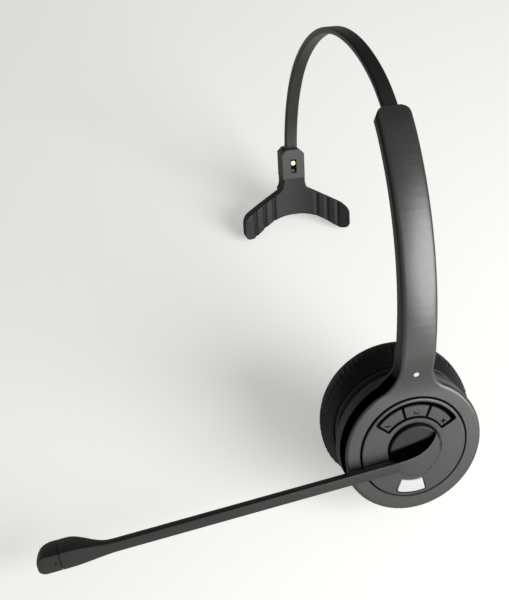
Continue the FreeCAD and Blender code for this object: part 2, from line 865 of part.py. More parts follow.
def charging_mouth():
    """Slot in both shells for the charging socket."""
    gap = slide_gap
    return charging_box(socket_width / 2 + gap, board_back - gap, board_back + socket_height + gap,
                        -cup_radius - 2.0, -cup_radius + socket_inset + socket_length + gap)


def charging_socket():
    outer_z = -cup_radius + socket_inset
    deep_z = outer_z + socket_length
    half = socket_width / 2
    shell = charging_box(half, board_back, board_back + socket_height, outer_z, deep_z)
    hollow = charging_box(half - socket_wall_t, board_back + socket_wall_t,
                          board_back + socket_height - socket_wall_t,
                          outer_z - 1.0, deep_z - 1.0)
    middle = board_back + socket_height / 2
    tab = charging_box(half * 0.6, middle - socket_wall_t, middle + socket_wall_t,
                       outer_z + 1.0, deep_z - 0.5)
    return fuse(shell.cut(hollow), tab)


def shell_screws():
    solids = []
    for x, z in screw_places():
        shank = rod(screw_radius, board_front - screw_bite, cup_depth - screw_head, x, z)
        head = rod(screw_head_radius, cup_depth - screw_head, cup_depth - 0.1, x, z)
        solids.append(fuse(shank, head))
    return Part.makeCompound(solids)


# ================================================================ boom
def boom_place(shape):
    """From the bar's own frame (along -X) to its resting direction."""
    shape = shape.copy()
    shape.rotate(V(0, -boom_front, 0), V(0, 0, 1), -boom_lean)
    shape.rotate(V(0, 0, 0), V(0, 1, 0), -boom_drop)
    return shape


def bar_outline():
    """Face of the bar: a flat strip that swells into the round-ended pod."""
    mid = -boom_offset
    half = boom_height / 2
    pod = pod_height / 2
    tip = -boom_length
    full = -(pod_seam + 1.0)
    return [(0.0, mid - half, 0), (-pod_start, mid - half, 30.0),
            (full, mid - pod + 0.3, 12.0), (tip, mid - pod, 3.0), (tip, mid + pod, 3.6),
            (full + 4.0, mid + pod, 14.0), (-pod_start, mid + half, 30.0), (0.0, mid + half, 0)]


def bar_thickness_outline():
    """Thickness of the bar seen from above, with the pod bulging towards the mouth."""
    front = -boom_front
    thin = front + boom_thickness
    thick = front + pod_thickness
    tip = -boom_length
    return [(0.0, front, 0), (tip, front, 1.0), (tip, thick, 5.5),
            (tip + 12.0, thick, 9.0), (-pod_start - 4.0, thin, 20.0), (0.0, thin, 0)]


def whole_bar():
    plan = slab_y(bar_outline(), -boom_front - 1.0, -boom_front + pod_thickness + 1.0)
    wire = outline(bar_thickness_outline(), lambda x, y: V(x, y, -20.0))
    depth = Part.Face(wire).extrude(V(0, 0, 40.0))
    return plan.common(depth)


def seam_cut(side):
    """Half space before (-1) or beyond (+1) the seam of the end cap."""
    if side < 0:
        return box(-pod_seam, 10.0, -40.0, 40.0, -40.0, 40.0)
    return box(-boom_length - 10.0, -pod_seam, -40.0, 40.0, -40.0, 40.0)


def mic_axis_x():
    return -(pod_seam + (boom_length - pod_seam) * 0.45)


def mic_cavity():
    front = -boom_front + 1.0
    return rod(mic_radius + mic_boot_wall, front, front + mic_length, mic_axis_x(), -boom_offset)


def hub_plateau():
    """Raised crescent of the hub: the bar's foot, falling towards its far horn."""
    top = -boom_offset + boom_height / 2
    circle = rod(hub_radius, -boom_front, -hub_height + 0.01)
    rise = hub_radius * 0.75
    edges = [Part.makeLine(V(-30, 0, top), V(-1.0, 0, top)),
             Part.Arc(V(-1.0, 0, top), V(rise * 0.62, 0, top + 3.0),
                      V(rise, 0, top + 9.5)).toShape(),
             Part.makeLine(V(rise, 0, top + 9.5), V(30, 0, top + 9.5)),
             Part.makeLine(V(30, 0, top + 9.5), V(30, 0, -30)),
             Part.makeLine(V(30, 0, -30), V(-30, 0, -30)),
             Part.makeLine(V(-30, 0, -30), V(-30, 0, top))]
    region = Part.Face(Part.Wire(edges)).extrude(V(0, -20, 0))
    fall = degrees(atan2(boom_front - hub_crest_height, 2 * hub_radius))
    wedge = box(-hub_radius - 5.0, hub_radius + 5.0, -30.0, 0.0, -30.0, 30.0)
    wedge.rotate(V(0, 0, 0), V(0, 0, 1), fall)
    wedge = wedge.translated(V(-hub_radius, -boom_front, 0))
    return circle.common(region).cut(wedge)


def boom_arm():
    hub_back = well_front - slide_gap
    disc = rod(hub_radius, -hub_height, hub_back)
    plateau = hub_plateau()
    plateau.rotate(V(0, 0, 0), V(0, 1, 0), -boom_drop)
    bar = boom_place(whole_bar().common(seam_cut(-1)))
    keep = box(-boom_length - 20.0, 0.0, -boom_front - 5.0, 30.0, -60.0, 30.0)
    bar = bar.common(keep)
    spigot = rod(spigot_radius, well_front - 0.5, well_back + washer_thickness + 2 * slide_gap)
    body = fuse(disc, plateau, bar, spigot)
    return body.cut(rod(screw_radius, well_back - 3.0, well_back + 3.0))


def friction_washer():
    y0 = well_back + slide_gap
    ring = rod(retainer_radius - 0.4, y0, y0 + washer_thickness)
    return ring.cut(rod(spigot_radius, y0 - 1.0, y0 + 2.0))


def boom_retainer():
    y0 = well_back + washer_thickness + 2 * slide_gap
    disc = rod(retainer_radius, y0, y0 + retainer_thickness)
    return disc.cut(rod(screw_radius, y0 - 1.0, y0 + 3.0))


def pivot_screw():
    y0 = well_back + washer_thickness + 2 * slide_gap + retainer_thickness
    head = rod(screw_head_radius, y0, y0 + screw_head * 0.6)
    return fuse(head, rod(screw_radius, well_back - 3.0, y0 + 0.1))


def mic_end_cap():
    cap = whole_bar().common(seam_cut(1)).cut(mic_cavity())
    hole = rod(mic_hole_radius, -boom_front - 2.0, -boom_front + 2.0, mic_axis_x(), -boom_offset)
    return boom_place(cap.cut(hole))


def mic_boot():
    front = -boom_front + 1.0
    body = mic_cavity().cut(rod(mic_radius, front - 1.0, front + mic_length + 1.0,
                                mic_axis_x(), -boom_offset))
    return boom_place(body)


def mic_capsule():
    front = -boom_front + 1.0
    return boom_place(rod(mic_radius, front, front + mic_length, mic_axis_x(), -boom_offset))


# ================================================================ headband
def band_route(section, start):
    """A section of (x, offset, corner) swept over the whole arch from a slope in the arm."""
    def at(radius):
        return [(x, radius + r, c) for x, r, c in section]

    parts = [bent(at(arm_radius), arm_centre, start, arm_top_slope),
             bent(at(shoulder_radius), shoulder_centre, arm_top_slope, shoulder_end_slope),
             bent(at(crown_radius), crown_centre, shoulder_end_slope, crown_end_slope),
             bent(at(leg_radius), leg_centre, crown_end_slope, leg_end_slope)]
    s, c = sin(radians(leg_end_slope)), cos(radians(leg_end_slope))
    wire = outline(section, lambda x, r: V(x, band_end_y - r * s, band_end_z + r * c))
    parts.append(Part.Face(wire).extrude(V(0, band_end_length * c, band_end_length * s)))
    return fuse(parts[0], *parts[1:])


def rivet(radius, y0, y1):
    return rod(radius, y0, y1, 0.0, rivet_z)


def core_section():
    return strip_section(core_width, -core_thickness / 2, core_thickness / 2)


def headband_cover():
    half = band_thickness / 2
    body = band_route(strip_section(band_width, -half, half, band_edge), tail_slope)
    hole = rivet(rivet_radius, clip_face_y, clip_back_y)
    return body.cut(band_route(core_section(), stop_slope)).cut(hole)


def headband_core():
    """Spring steel strip inside the band, which carries the stop at its tail."""
    body = band_route(core_section(), (tail_slope + stop_slope) / 2)
    return body.cut(rivet(rivet_radius, clip_face_y, clip_back_y))


def band_stop():
    """Block on the end of the steel core, caught by the narrow mouth."""
    half = band_thickness / 2
    block = bent(strip_section(stop_width, arm_radius - half, arm_radius + half),
                 arm_centre, stop_slope, tail_slope)
    return block.cut(headband_core())


# ================================================================ temple rest
def clip_outline():
    half = clip_width / 2
    c = clip_corner
    return [(-half, clip_bottom, 0), (half, clip_bottom, 0), (half, clip_top - c, 0.6),
            (half - c, clip_top, 0.6), (-half + c, clip_top, 0.6), (-half, clip_top - c, 0.6)]


def band_room():
    """Space in the clip in which the band's end rocks."""
    reach = clip_top - rivet_z
    half = band_width / 2 + reach * sin(radians(rock_angle)) + rock_margin
    deep = band_thickness / 2 + rock_play
    section = strip_section(2 * half, -deep, deep)
    s, c = sin(radians(leg_end_slope)), cos(radians(leg_end_slope))
    length = band_end_length + rock_margin
    wire = outline(section, lambda x, r: V(x, band_end_y - r * s, band_end_z + r * c))
    room = Part.Face(wire).extrude(V(0, length * c, length * s))
    above = Part.Face(wire).extrude(V(0, 0, clip_lip + 1.0))
    return fuse(room, above)


def temple_core():
    """Flat core of the pad, whose upper end is the tongue that the clip holds."""
    half = tongue_width / 2
    return box(-half, half, clip_seam_y, clip_seam_y + tongue_thickness,
               clip_bottom - tongue_below, clip_bottom + tongue_above)


def clip_front():
    body = slab_y(clip_outline(), clip_face_y, clip_seam_y)
    half = window_width / 2
    top = rivet_z + rivet_radius + 0.9
    window = slab_y([(-half, top - window_height, 0.5), (half, top - window_height, 0.5),
                     (half, top, 0.5), (-half, top, 0.5)], clip_face_y - 1.0, clip_seam_y + 1.0)
    return body.cut(window)


def clip_back():
    body = slab_y(clip_outline(), clip_seam_y, clip_back_y)
    half = window_width / 2
    top = rivet_z + rivet_radius + 0.9
    well = slab_y([(-half, top - window_height, 0.5), (half, top - window_height, 0.5),
                   (half, top, 0.5), (-half, top, 0.5)], clip_seam_y - 1.0, band_end_y)
    body = body.cut(well).cut(band_room()).cut(temple_core())
    return body.cut(rivet(rivet_radius + rivet_clearance, clip_seam_y - 1.0, rivet_end()))


def rivet_end():
    return clip_back_y - 1.5


def clip_rivet():
    return rivet(rivet_radius, clip_seam_y - 0.9, rivet_end() - 0.1)


def pad_outline():
    half = clip_width / 2
    base = clip_bottom
    shoulder = base - pad_waist_drop - (pad_half_width - half) * tan(radians(pad_leg_slope))
    toe = pad_half_width - pad_toe
    arch = toe - (pad_drop - pad_arch_drop) / tan(radians(pad_arch_slope))
    right = [(half, base, 0), (half, base - pad_waist_drop, pad_waist_round),
             (pad_half_width, shoulder, 6.0), (pad_half_width, base - pad_drop, pad_toe_round),
             (toe, base - pad_drop, 1.6), (arch, base - pad_arch_drop, pad_arch_round)]
    left = [(-x, z, r) for x, z, r in reversed(right)]
    return right + left


def pad_shell(inner, outer, x_half):
    """Space between two upright cylinders about the middle of the head."""
    y = clip_face_y - pad_face_radius
    low, high = clip_bottom - pad_drop - 5.0, clip_bottom
    tall = high - low
    axis = V(0, 0, 1)
    ring = Part.makeCylinder(outer, tall, V(0, y, low), axis)
    ring = ring.cut(Part.makeCylinder(inner, tall, V(0, y, low), axis))
    return ring.common(box(-x_half, x_half, y, clip_back_y + 5.0, low, high))


def pad_groove():
    """V-shaped channel across a leg, at the middle of the pad."""
    mouth = pad_groove_width / 2 * (1.0 + 1.0 / pad_groove_depth)
    low = clip_bottom - pad_drop - 1.0
    corners = [(-mouth, pad_face_radius - 1.0, 0), (mouth, pad_face_radius - 1.0, 0),
               (0.0, pad_face_radius + pad_groove_depth, 0)]
    wire = outline(corners, lambda x, y: V(x, y, low))
    return Part.Face(wire).extrude(V(0, 0, clip_bottom - low))


def temple_pad():
    plan = slab_y(pad_outline(), clip_face_y - 20.0, clip_back_y + 5.0)
    legs = pad_shell(pad_face_radius, pad_face_radius + pad_leg_thickness, pad_half_width + 2.0)
    legs = legs.common(plan)
    half = clip_width / 2
    foot = clip_bottom - pad_arch_drop + 2.0
    wedge = slab_x([(clip_face_y + 1.0, clip_bottom, 0), (clip_back_y, clip_bottom, 0),
                    (clip_face_y + pad_leg_thickness, foot, 0), (clip_face_y + 1.0, foot, 0)],
                   -half - 1.5, half + 1.5)
    front = pad_shell(pad_face_radius, pad_face_radius + clip_thickness + 3.0, half + 3.0)
    body = fuse(legs, wedge.common(plan).common(front))
    y = clip_face_y - pad_face_radius
    for i in range(pad_groove_count):
        x = pad_first_groove + i * pad_groove_pitch
        for side in (-1, 1):
            turn = degrees(asin(x / pad_face_radius)) * side
            groove = pad_groove()
            groove.rotate(V(0, 0, 0), V(0, 0, 1), -turn)
            body = body.cut(groove.translated(V(0, y, 0)))
    return body.cut(temple_core())


# ================================================================ laying it down
def swivelled(shape):
    shape = shape.copy()
    shape.rotate(V(0, ball_y, 0), V(0, 0, 1), -swivel_rest)
    return shape


ear_cup = {
    "outer_shell": outer_shell(), "inner_shell": inner_shell(), "face_panel": face_panel(),
    "circuit_board": circuit_board(), "tact_switches": tact_switches(),
    "radio_module": radio_module(), "battery": battery(), "charging_socket": charging_socket(),
    "status_light": status_light(), "shell_screws": shell_screws(),
    "ball_retainer": ball_retainer(), "retainer_screws": retainer_screws(),
    "friction_spring": friction_spring(),
}
keys = {
    "volume_down_key": arc_key(0), "call_key": arc_key(1), "volume_up_key": arc_key(2),
    "mute_key": mute_key(),
}
boom = {
    "boom_arm": boom_arm(), "mic_end_cap": mic_end_cap(), "mic_boot": mic_boot(),
    "mic_capsule": mic_capsule(), "friction_washer": friction_washer(),
    "boom_retainer": boom_retainer(), "pivot_screw": pivot_screw(),
}
headband = {
    "headband_cover": headband_cover(), "headband_core": headband_core(),
    "band_stop": band_stop(), "clip_rivet": clip_rivet(),
}
temple = {
    "clip_front": clip_front(), "clip_back": clip_back(),
    "temple_pad": temple_pad(), "temple_core": temple_core(),
}
speaker = {
    "ball_stud": ball_stud(), "speaker_housing": speaker_housing(),
    "speaker_baffle": speaker_baffle(), "driver_frame": driver_frame(),
    "driver_magnet": driver_magnet(), "driver_diaphragm": driver_diaphragm(),
    "speaker_cloth": speaker_cloth(), "cushion_clip_ring": cushion_clip_ring(),
    "ear_cushion": ear_cushion(),
}
speaker = {name: swivelled(shape) for name, shape in speaker.items()}


def leant(shape, angle):
    shape = shape.copy()
    shape.rotate(V(0, 0, 0), V(1, 0, 0), -angle)
    return shape


def lowest(shape):
    return shape.optimalBoundingBox(False).ZMin


def resting_lean():
    """Lean at which the cushion's rim and the temple legs touch the table together."""
    low, high = 10.0, 60.0
    for _ in range(24):
        middle = (low + high) / 2
        cushion = lowest(leant(speaker["ear_cushion"], middle))
        pad = lowest(leant(temple["temple_pad"], middle))
        if cushion < pad:
            low = middle
        else:
            high = middle
    return (low + high) / 2


nodes = {}
for group in (ear_cup, keys, boom, headband, temple, speaker):
    nodes.update(group)

lean = resting_lean()
nodes = {name: leant(shape, lean) for name, shape in nodes.items()}
bounds = Part.makeCompound(list(nodes.values())).optimalBoundingBox(False)
origin_shift = V(-(bounds.XMin + bounds.XMax) / 2, -(bounds.YMin + bounds.YMax) / 2, -bounds.ZMin)
nodes = {name: shape.translated(origin_shift) for name, shape in nodes.items()}

os.makedirs("parts", exist_ok=True)
for name, shape in nodes.items():
    shape.exportStep("parts/" + name + ".step")
print("lean", round(lean, 3), "origin shift", origin_shift)
for name, shape in nodes.items():
    print(name, len(shape.Solids), "solid", "valid" if shape.isValid() else "INVALID",
          round(shape.Volume, 1))
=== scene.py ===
# %% [markdown]
# # Office headset
# This lesson dresses a wireless single-ear headset. The rigid pieces come from a packed
# CAD model, which gives their size and place. Here they get their finish, and the pieces
# whose charm is in soft or flowing shape are modelled over them: the arm, the panel and
# its keys, the clip, the boom with its hub, the ear cushion and the temple pad.

import json
import math

import bmesh
import bpy
from mathutils import Matrix, Vector, noise


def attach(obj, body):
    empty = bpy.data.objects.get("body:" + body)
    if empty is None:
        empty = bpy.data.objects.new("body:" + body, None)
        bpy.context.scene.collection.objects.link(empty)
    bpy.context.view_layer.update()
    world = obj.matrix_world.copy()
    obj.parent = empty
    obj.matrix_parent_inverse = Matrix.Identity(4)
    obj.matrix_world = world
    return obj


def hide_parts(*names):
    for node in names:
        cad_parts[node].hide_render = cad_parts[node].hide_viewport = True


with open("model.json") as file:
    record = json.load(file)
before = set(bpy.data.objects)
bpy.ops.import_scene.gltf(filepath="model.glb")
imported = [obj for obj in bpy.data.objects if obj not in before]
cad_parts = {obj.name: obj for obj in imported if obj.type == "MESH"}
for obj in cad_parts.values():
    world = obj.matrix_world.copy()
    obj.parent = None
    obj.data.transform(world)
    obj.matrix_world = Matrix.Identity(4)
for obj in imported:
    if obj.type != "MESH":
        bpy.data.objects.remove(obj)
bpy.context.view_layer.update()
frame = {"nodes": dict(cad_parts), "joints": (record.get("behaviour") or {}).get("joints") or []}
node = frame["nodes"]

# %% [markdown]
# The headset lies on its side, but it is easier to shape in the wearer's own frame: X to
# the back of the head, Y from the cup into the head, Z up, in millimetres, with the
# middle of the cup's face as origin. Two joints give that frame: the boom turns about
# the wearer's Y, and the speaker swivels about the wearer's Z.

# %% The wearer's frame
joint = {j["name"]: j for j in frame["joints"]}
cup_face = Vector(joint["boom_swing"]["pos_m"])
inward = Vector(joint["boom_swing"]["axis"]).normalized()
upward = Vector(joint["speaker_swivel"]["axis"]).normalized()
rearward = inward.cross(upward)
mm = 0.001
head_turn = Matrix((rearward, inward, upward)).transposed().to_4x4()
head = Matrix.Translation(cup_face) @ head_turn @ Matrix.Scale(mm, 4)
from_head = head.inverted()


def at(x, y, z):
    """A point of the wearer's frame, on the table."""
    return head @ Vector((x, y, z))


print("cup face at", [round(c, 4) for c in cup_face])

# %% [markdown]
# The camera stands in front of the cup, above and to the left, and looks down at the
# table. Its place and directions are given in the wearer's frame.

# %% Camera
camera_place = (-133.6, -325.5, 211.0)
camera_right = Vector((0.970, -0.236, -0.053))
camera_back = Vector((-0.199, -0.903, 0.382))
camera_up = camera_back.cross(camera_right)
camera_turn = Matrix((camera_right.normalized(), camera_up.normalized(),
                      camera_back.normalized())).transposed().to_4x4()
camera_data = bpy.data.cameras.new("camera")
camera_data.sensor_width = 36.0
camera_data.lens = 60.0
camera = bpy.data.objects.new("camera", camera_data)
camera.matrix_world = Matrix.Translation(at(*camera_place)) @ head_turn @ camera_turn
bpy.context.scene.collection.objects.link(camera)
bpy.context.scene.camera = camera

# %% [markdown]
# ## Modelling helpers
# Each piece is shaped in the wearer's frame, where one unit is a millimetre, and laid
# down on the table at real size when it is done. Operators act on all that is selected,
# so a piece is made the only selected one first, and faces are picked by a test.

# %% Selecting and laying down
def alone(piece):
    """Makes a piece the only selected and active object."""
    if bpy.context.object and bpy.context.object.mode != "OBJECT":
        bpy.ops.object.mode_set(mode="OBJECT")
    bpy.ops.object.select_all(action="DESELECT")
    piece.hide_viewport = False
    piece.select_set(True)
    bpy.context.view_layer.objects.active = piece


def ease(t):
    """Rises from 0 to 1 while t does, slowly at both ends."""
    t = max(0.0, min(1.0, t))
    return t * t * (3 - 2 * t)


def fresh(name):
    """Takes over the primitive that was just added, with its turn and size in its mesh."""
    piece = bpy.context.object
    piece.name = name
    piece.data.name = name
    bpy.ops.object.transform_apply(location=True, rotation=True, scale=True)
    return piece


def edit(piece, choice="DESELECT"):
    """Opens a piece in edit mode, with none or all of its faces selected."""
    alone(piece)
    bpy.ops.object.mode_set(mode="EDIT")
    bpy.ops.mesh.select_mode(type="FACE")
    bpy.ops.mesh.select_all(action=choice)


def done():
    """Goes back from edit mode."""
    bpy.ops.object.mode_set(mode="OBJECT")


def settle(modifier):
    """Applies a modifier of the active piece."""
    bpy.ops.object.modifier_apply(modifier=modifier.name)


def pick_faces(piece, test):
    """Selects the faces whose middle and normal pass the test."""
    mesh = bmesh.from_edit_mesh(piece.data)
    mesh.normal_update()
    for face in mesh.faces:
        face.select = bool(test(face.calc_center_median(), face.normal))
    mesh.select_flush_mode()
    bmesh.update_edit_mesh(piece.data)


def pick_edges(piece, test):
    """Selects the edges whose two ends pass the test, and counts them."""
    bpy.ops.mesh.select_mode(type="EDGE")
    mesh = bmesh.from_edit_mesh(piece.data)
    for face in mesh.faces:
        face.select = False
    for edge in mesh.edges:
        edge.select = bool(test(edge.verts[0].co, edge.verts[1].co))
    bmesh.update_edit_mesh(piece.data)
    return sum(edge.select for edge in mesh.edges)


def lay_down(piece, smooth=35.0):
    """Puts a piece from the wearer's frame on the table, its place in its mesh."""
    alone(piece)
    piece.matrix_world = head @ piece.matrix_world
    bpy.ops.object.transform_apply(location=True, rotation=True, scale=True)
    edit(piece, "SELECT")
    bpy.ops.mesh.normals_make_consistent(inside=False)
    done()
    bpy.ops.object.shade_smooth_by_angle(angle=math.radians(smooth))


def rides(piece, body, slot, *finish):
    """Gives a piece its body and its finish. Its slot is not used."""
    piece.data.materials.clear()
    for material in finish:
        piece.data.materials.append(material)
    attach(piece, body)
    triangles = sum(len(p.vertices) - 2 for p in piece.data.polygons)
    print(piece.name, "rides", body, "triangles", triangles)


# %% [markdown]
# ## Materials
# Every plastic on this headset is a dark moulding with a spark-eroded grain: a fine,
# even bump, a slow drift in tone, and a gloss that is broken up by handling. One helper
# makes them all. The noises read Object coordinates in metres, so a grain size in
# millimetres becomes a scale of a thousand over that size.

# %% Moulded plastic helper
def new_material(name):
    """A material with its node tree and its shader."""
    material = bpy.data.materials.new(name)
    material.use_nodes = True
    tree = material.node_tree
    return material, tree, tree.nodes["Principled BSDF"]


def put(tree, value, socket):
    """Links an output to a socket, or sets the socket to a number, vector or colour."""
    if isinstance(value, bpy.types.NodeSocket):
        tree.links.new(value, socket)
    else:
        socket.default_value = (*value, 1.0) if socket.type == "RGBA" else value


def coat(tree, shader, tone, gloss):
    """Gives a shader its colour and its roughness."""
    put(tree, tone, shader.inputs["Base Color"])
    put(tree, gloss, shader.inputs["Roughness"])


def worked_out(tree, kind, operation, *values):
    """Outputs of a math node that works on numbers, vectors or other outputs."""
    maths = tree.nodes.new("ShaderNode" + kind)
    maths.operation = operation
    for value, socket in zip(values, maths.inputs):
        put(tree, value, socket)
    return maths.outputs


def pattern(tree, kind, size_mm):
    """A texture that lies on the piece, with cells of about this size."""
    place = tree.nodes.new("ShaderNodeTexCoord")
    texture = tree.nodes.new("ShaderNodeTex" + kind)
    texture.inputs["Scale"].default_value = 1.0 / (size_mm * mm)
    tree.links.new(place.outputs["Object"], texture.inputs["Vector"])
    return texture


def grain(tree, size_mm, detail=2.0, rough=0.5):
    """Noise whose lumps have about this size on the piece."""
    cloud = pattern(tree, "Noise", size_mm)
    cloud.inputs["Detail"].default_value = detail
    cloud.inputs["Roughness"].default_value = rough
    return cloud.outputs["Fac"]


def spread(tree, value, low, high, start=0.3, stop=0.7):
    """Maps a noise onto a range of numbers."""
    remap = tree.nodes.new("ShaderNodeMapRange")
    remap.inputs["From Min"].default_value = start
    remap.inputs["From Max"].default_value = stop
    remap.inputs["To Min"].default_value = low
    remap.inputs["To Max"].default_value = high
    tree.links.new(value, remap.inputs["Value"])
    return remap.outputs["Result"]


def blend_colour(tree, fac, first, second):
    """Mixes a colour, or a node's output, with a second colour."""
    mix = tree.nodes.new("ShaderNodeMix")
    mix.data_type = "RGBA"
    tree.links.new(fac, mix.inputs["Factor"])
    put(tree, first, mix.inputs["A"])
    put(tree, second, mix.inputs["B"])
    return mix.outputs["Result"]


def bumps(tree, shader, height, depth_mm):
    """Turns a height pattern into a bump of this depth."""
    bump = tree.nodes.new("ShaderNodeBump")
    bump.inputs["Distance"].default_value = depth_mm * mm
    tree.links.new(height, bump.inputs["Height"])
    tree.links.new(bump.outputs["Normal"], shader.inputs["Normal"])


def dust(tree, spacing_mm, speck_mm, share):
    """Mask of sparse pale specks: a few cells of a Voronoi pattern hold one each."""
    cells = pattern(tree, "Voronoi", spacing_mm)
    split = tree.nodes.new("ShaderNodeSeparateColor")
    tree.links.new(cells.outputs["Color"], split.inputs["Color"])
    near = worked_out(tree, "Math", "LESS_THAN", cells.outputs["Distance"],
                      speck_mm / spacing_mm)
    chosen = worked_out(tree, "Math", "LESS_THAN", split.outputs["Red"], share)
    both = worked_out(tree, "Math", "MULTIPLY", near["Value"], chosen["Value"])
    return both["Value"]


drift_mm = 14.0
gloss_mm = 2.2
grain_depth = 0.012
speck_spacing = 3.2
speck_size = 0.11
speck_colour = (0.42, 0.42, 0.40)


def moulded(name, colour, rough, grain_mm=0.35, drift=0.18, specks=0.0, sheen=0.75):
    """Grained plastic: tone drift, broken gloss, fine bump and a little dust."""
    material, tree, shader = new_material(name)
    shader.inputs["Specular IOR Level"].default_value = sheen
    dark = tuple(c * (1 - drift) for c in colour)
    light = tuple(c * (1 + drift) for c in colour)
    tone = blend_colour(tree, spread(tree, grain(tree, drift_mm, 3.0), 0, 1), dark, light)
    fine = grain(tree, grain_mm, 3.0, 0.6)
    worn = tuple(min(1.0, c * 1.8 + 0.01) for c in colour)
    tone = blend_colour(tree, spread(tree, fine, 0, 0.35, 0.45, 0.75), tone, worn)
    if specks:
        mask = dust(tree, speck_spacing, speck_size, specks)
        tone = blend_colour(tree, mask, tone, speck_colour)
    gloss = spread(tree, grain(tree, gloss_mm, 4.0, 0.6), rough - 0.02, rough + 0.025)
    coat(tree, shader, tone, gloss)
    bumps(tree, shader, fine, grain_depth)
    return material


def paint_shade_beyond(material, place, toward, soft_mm):
    """Paints shade: lets a finish go matt black past a plane, within a soft border."""
    tree = material.node_tree
    shader = tree.nodes["Principled BSDF"]
    spot = tree.nodes.new("ShaderNodeTexCoord").outputs["Object"]
    off = worked_out(tree, "VectorMath", "SUBTRACT", spot, place)
    along = worked_out(tree, "VectorMath", "DOT_PRODUCT", off["Vector"], toward)["Value"]
    border = (-soft_mm * mm, soft_mm * mm)
    colour = shader.inputs["Base Color"]
    dark = spread(tree, along, 0, 1, *border)
    tone = blend_colour(tree, dark, colour.links[0].from_socket, (0.001, 0.001, 0.001))
    tree.links.new(tone, colour)
    level = shader.inputs["Specular IOR Level"]
    tree.links.new(spread(tree, along, level.default_value, 0, *border), level)


# %% [markdown]
# The finish of a face follows its use: the cup and the panel shine most, the boom and the keys
# less. Gaps and hollows get painted shade, a matt, nearly black material. The forward side of
# the shell goes black below the neck, where it lies in shade: painted shade as well.

# %% Plastics of the headset
shell_charcoal = moulded("shell_charcoal", (0.020, 0.020, 0.0195), 0.36, specks=0.06, sheen=1.0)
flank_grey = moulded("flank_grey", (0.034, 0.034, 0.032), 0.48, specks=0.03, sheen=0.45)
panel_charcoal = moulded("panel_charcoal", (0.018, 0.018, 0.0175), 0.35, specks=0.05, sheen=0.94)
key_charcoal = moulded("key_charcoal", (0.022, 0.022, 0.0215), 0.36, specks=0.03)
boom_charcoal = moulded("boom_charcoal", (0.014, 0.014, 0.0135), 0.38, specks=0.04, sheen=0.7)
# Painted shade: a darker copy of the shell's material for its forward side walls, which goes
# black below the neck.
shell_side_painted_shade = moulded("shell_side_painted_shade", (0.010, 0.010, 0.0098), 0.45, sheen=0.6)
paint_shade_beyond(shell_side_painted_shade, at(0, 0, 38), -upward, 6.0)
# Painted shade: the hub's floor is darker than the boom, and goes black towards the crescent's
# wall.
hub_floor_painted_shade = moulded("hub_floor_painted_shade", (0.009, 0.009, 0.009), 0.42, specks=0.04, sheen=0.5)
# Painted shade in gaps, hollows and on the hub's wall; the same black is also the ink of the
# signs.
shade_and_ink_black = moulded("shade_and_ink_black", (0.0015, 0.0015, 0.0015), 0.7, drift=0.3, sheen=0.0)
band_black = moulded("band_black", (0.012, 0.012, 0.012), 0.38, grain_mm=0.5)
clip_charcoal = moulded("clip_charcoal", (0.020, 0.020, 0.0195), 0.44, sheen=0.55)
hidden_black = moulded("hidden_black", (0.03, 0.03, 0.03), 0.5)
washer_cream = moulded("washer_cream", (0.72, 0.70, 0.62), 0.4)
film_clear = moulded("film_clear", (0.45, 0.45, 0.43), 0.2)
pad_rubber = moulded("pad_rubber", (0.013, 0.013, 0.0128), 0.50, grain_mm=0.6, drift=0.3,
                     specks=0.02, sheen=0.32)
print("plastics made")

# %% [markdown]
# The mute key is a white glossy cap. A clear coat over a slightly mottled white gives
# its soft edge light without making it look like paper.

# %% Mute key and status light
gloss_white, tree, shader = new_material("gloss_white")
tone = blend_colour(tree, spread(tree, grain(tree, 4.0), 0, 1), (0.60, 0.61, 0.605),
                    (0.66, 0.67, 0.665))
coat(tree, shader, tone, spread(tree, grain(tree, 1.5), 0.16, 0.26))
shader.inputs["Coat Weight"].default_value = 0.6
shader.inputs["Coat Roughness"].default_value = 0.08
bumps(tree, shader, grain(tree, 2.5), 0.01)

light_frost, tree, shader = new_material("light_frost")
tone = blend_colour(tree, spread(tree, grain(tree, 0.8), 0, 1), (0.50, 0.56, 0.60),
                    (0.66, 0.70, 0.72))
coat(tree, shader, tone, spread(tree, grain(tree, 0.5), 0.2, 0.35))
bumps(tree, shader, grain(tree, 0.4), 0.01)
print("white key and status light made")

# %% [markdown]
# Metal shows at the rivet and, from behind, at the screws. The grain of a turned or
# rolled metal is drawn out in one direction, so its noise is squeezed across. The
# circuit board has a black mask, whose tracks show as a step in tone.

# %% Metals
def metal(name, colour, rough, stretch=(1, 1, 1), grain_mm=0.4):
    """Bare metal whose grain can be drawn out along one direction."""
    material, tree, shader = new_material(name)
    shader.inputs["Metallic"].default_value = 1.0
    place = tree.nodes.new("ShaderNodeTexCoord")
    squeeze = tree.nodes.new("ShaderNodeMapping")
    squeeze.inputs["Scale"].default_value = stretch
    cloud = tree.nodes.new("ShaderNodeTexNoise")
    cloud.inputs["Scale"].default_value = 1.0 / (grain_mm * mm)
    tree.links.new(place.outputs["Object"], squeeze.inputs["Vector"])
    tree.links.new(squeeze.outputs["Vector"], cloud.inputs["Vector"])
    tone = blend_colour(tree, spread(tree, cloud.outputs["Fac"], 0, 1),
                        tuple(c * 0.8 for c in colour), colour)
    gloss = spread(tree, cloud.outputs["Fac"], rough - 0.08, rough + 0.08)
    coat(tree, shader, tone, gloss)
    bumps(tree, shader, cloud.outputs["Fac"], 0.004)
    return material


rivet_brass = metal("rivet_brass", (0.62, 0.45, 0.26), 0.30)
spring_steel = metal("spring_steel", (0.58, 0.58, 0.60), 0.30, (1, 0.1, 1))
screw_black = metal("screw_black", (0.10, 0.10, 0.105), 0.35)
foil = metal("foil", (0.62, 0.62, 0.64), 0.28, (0.2, 1, 1), 0.8)

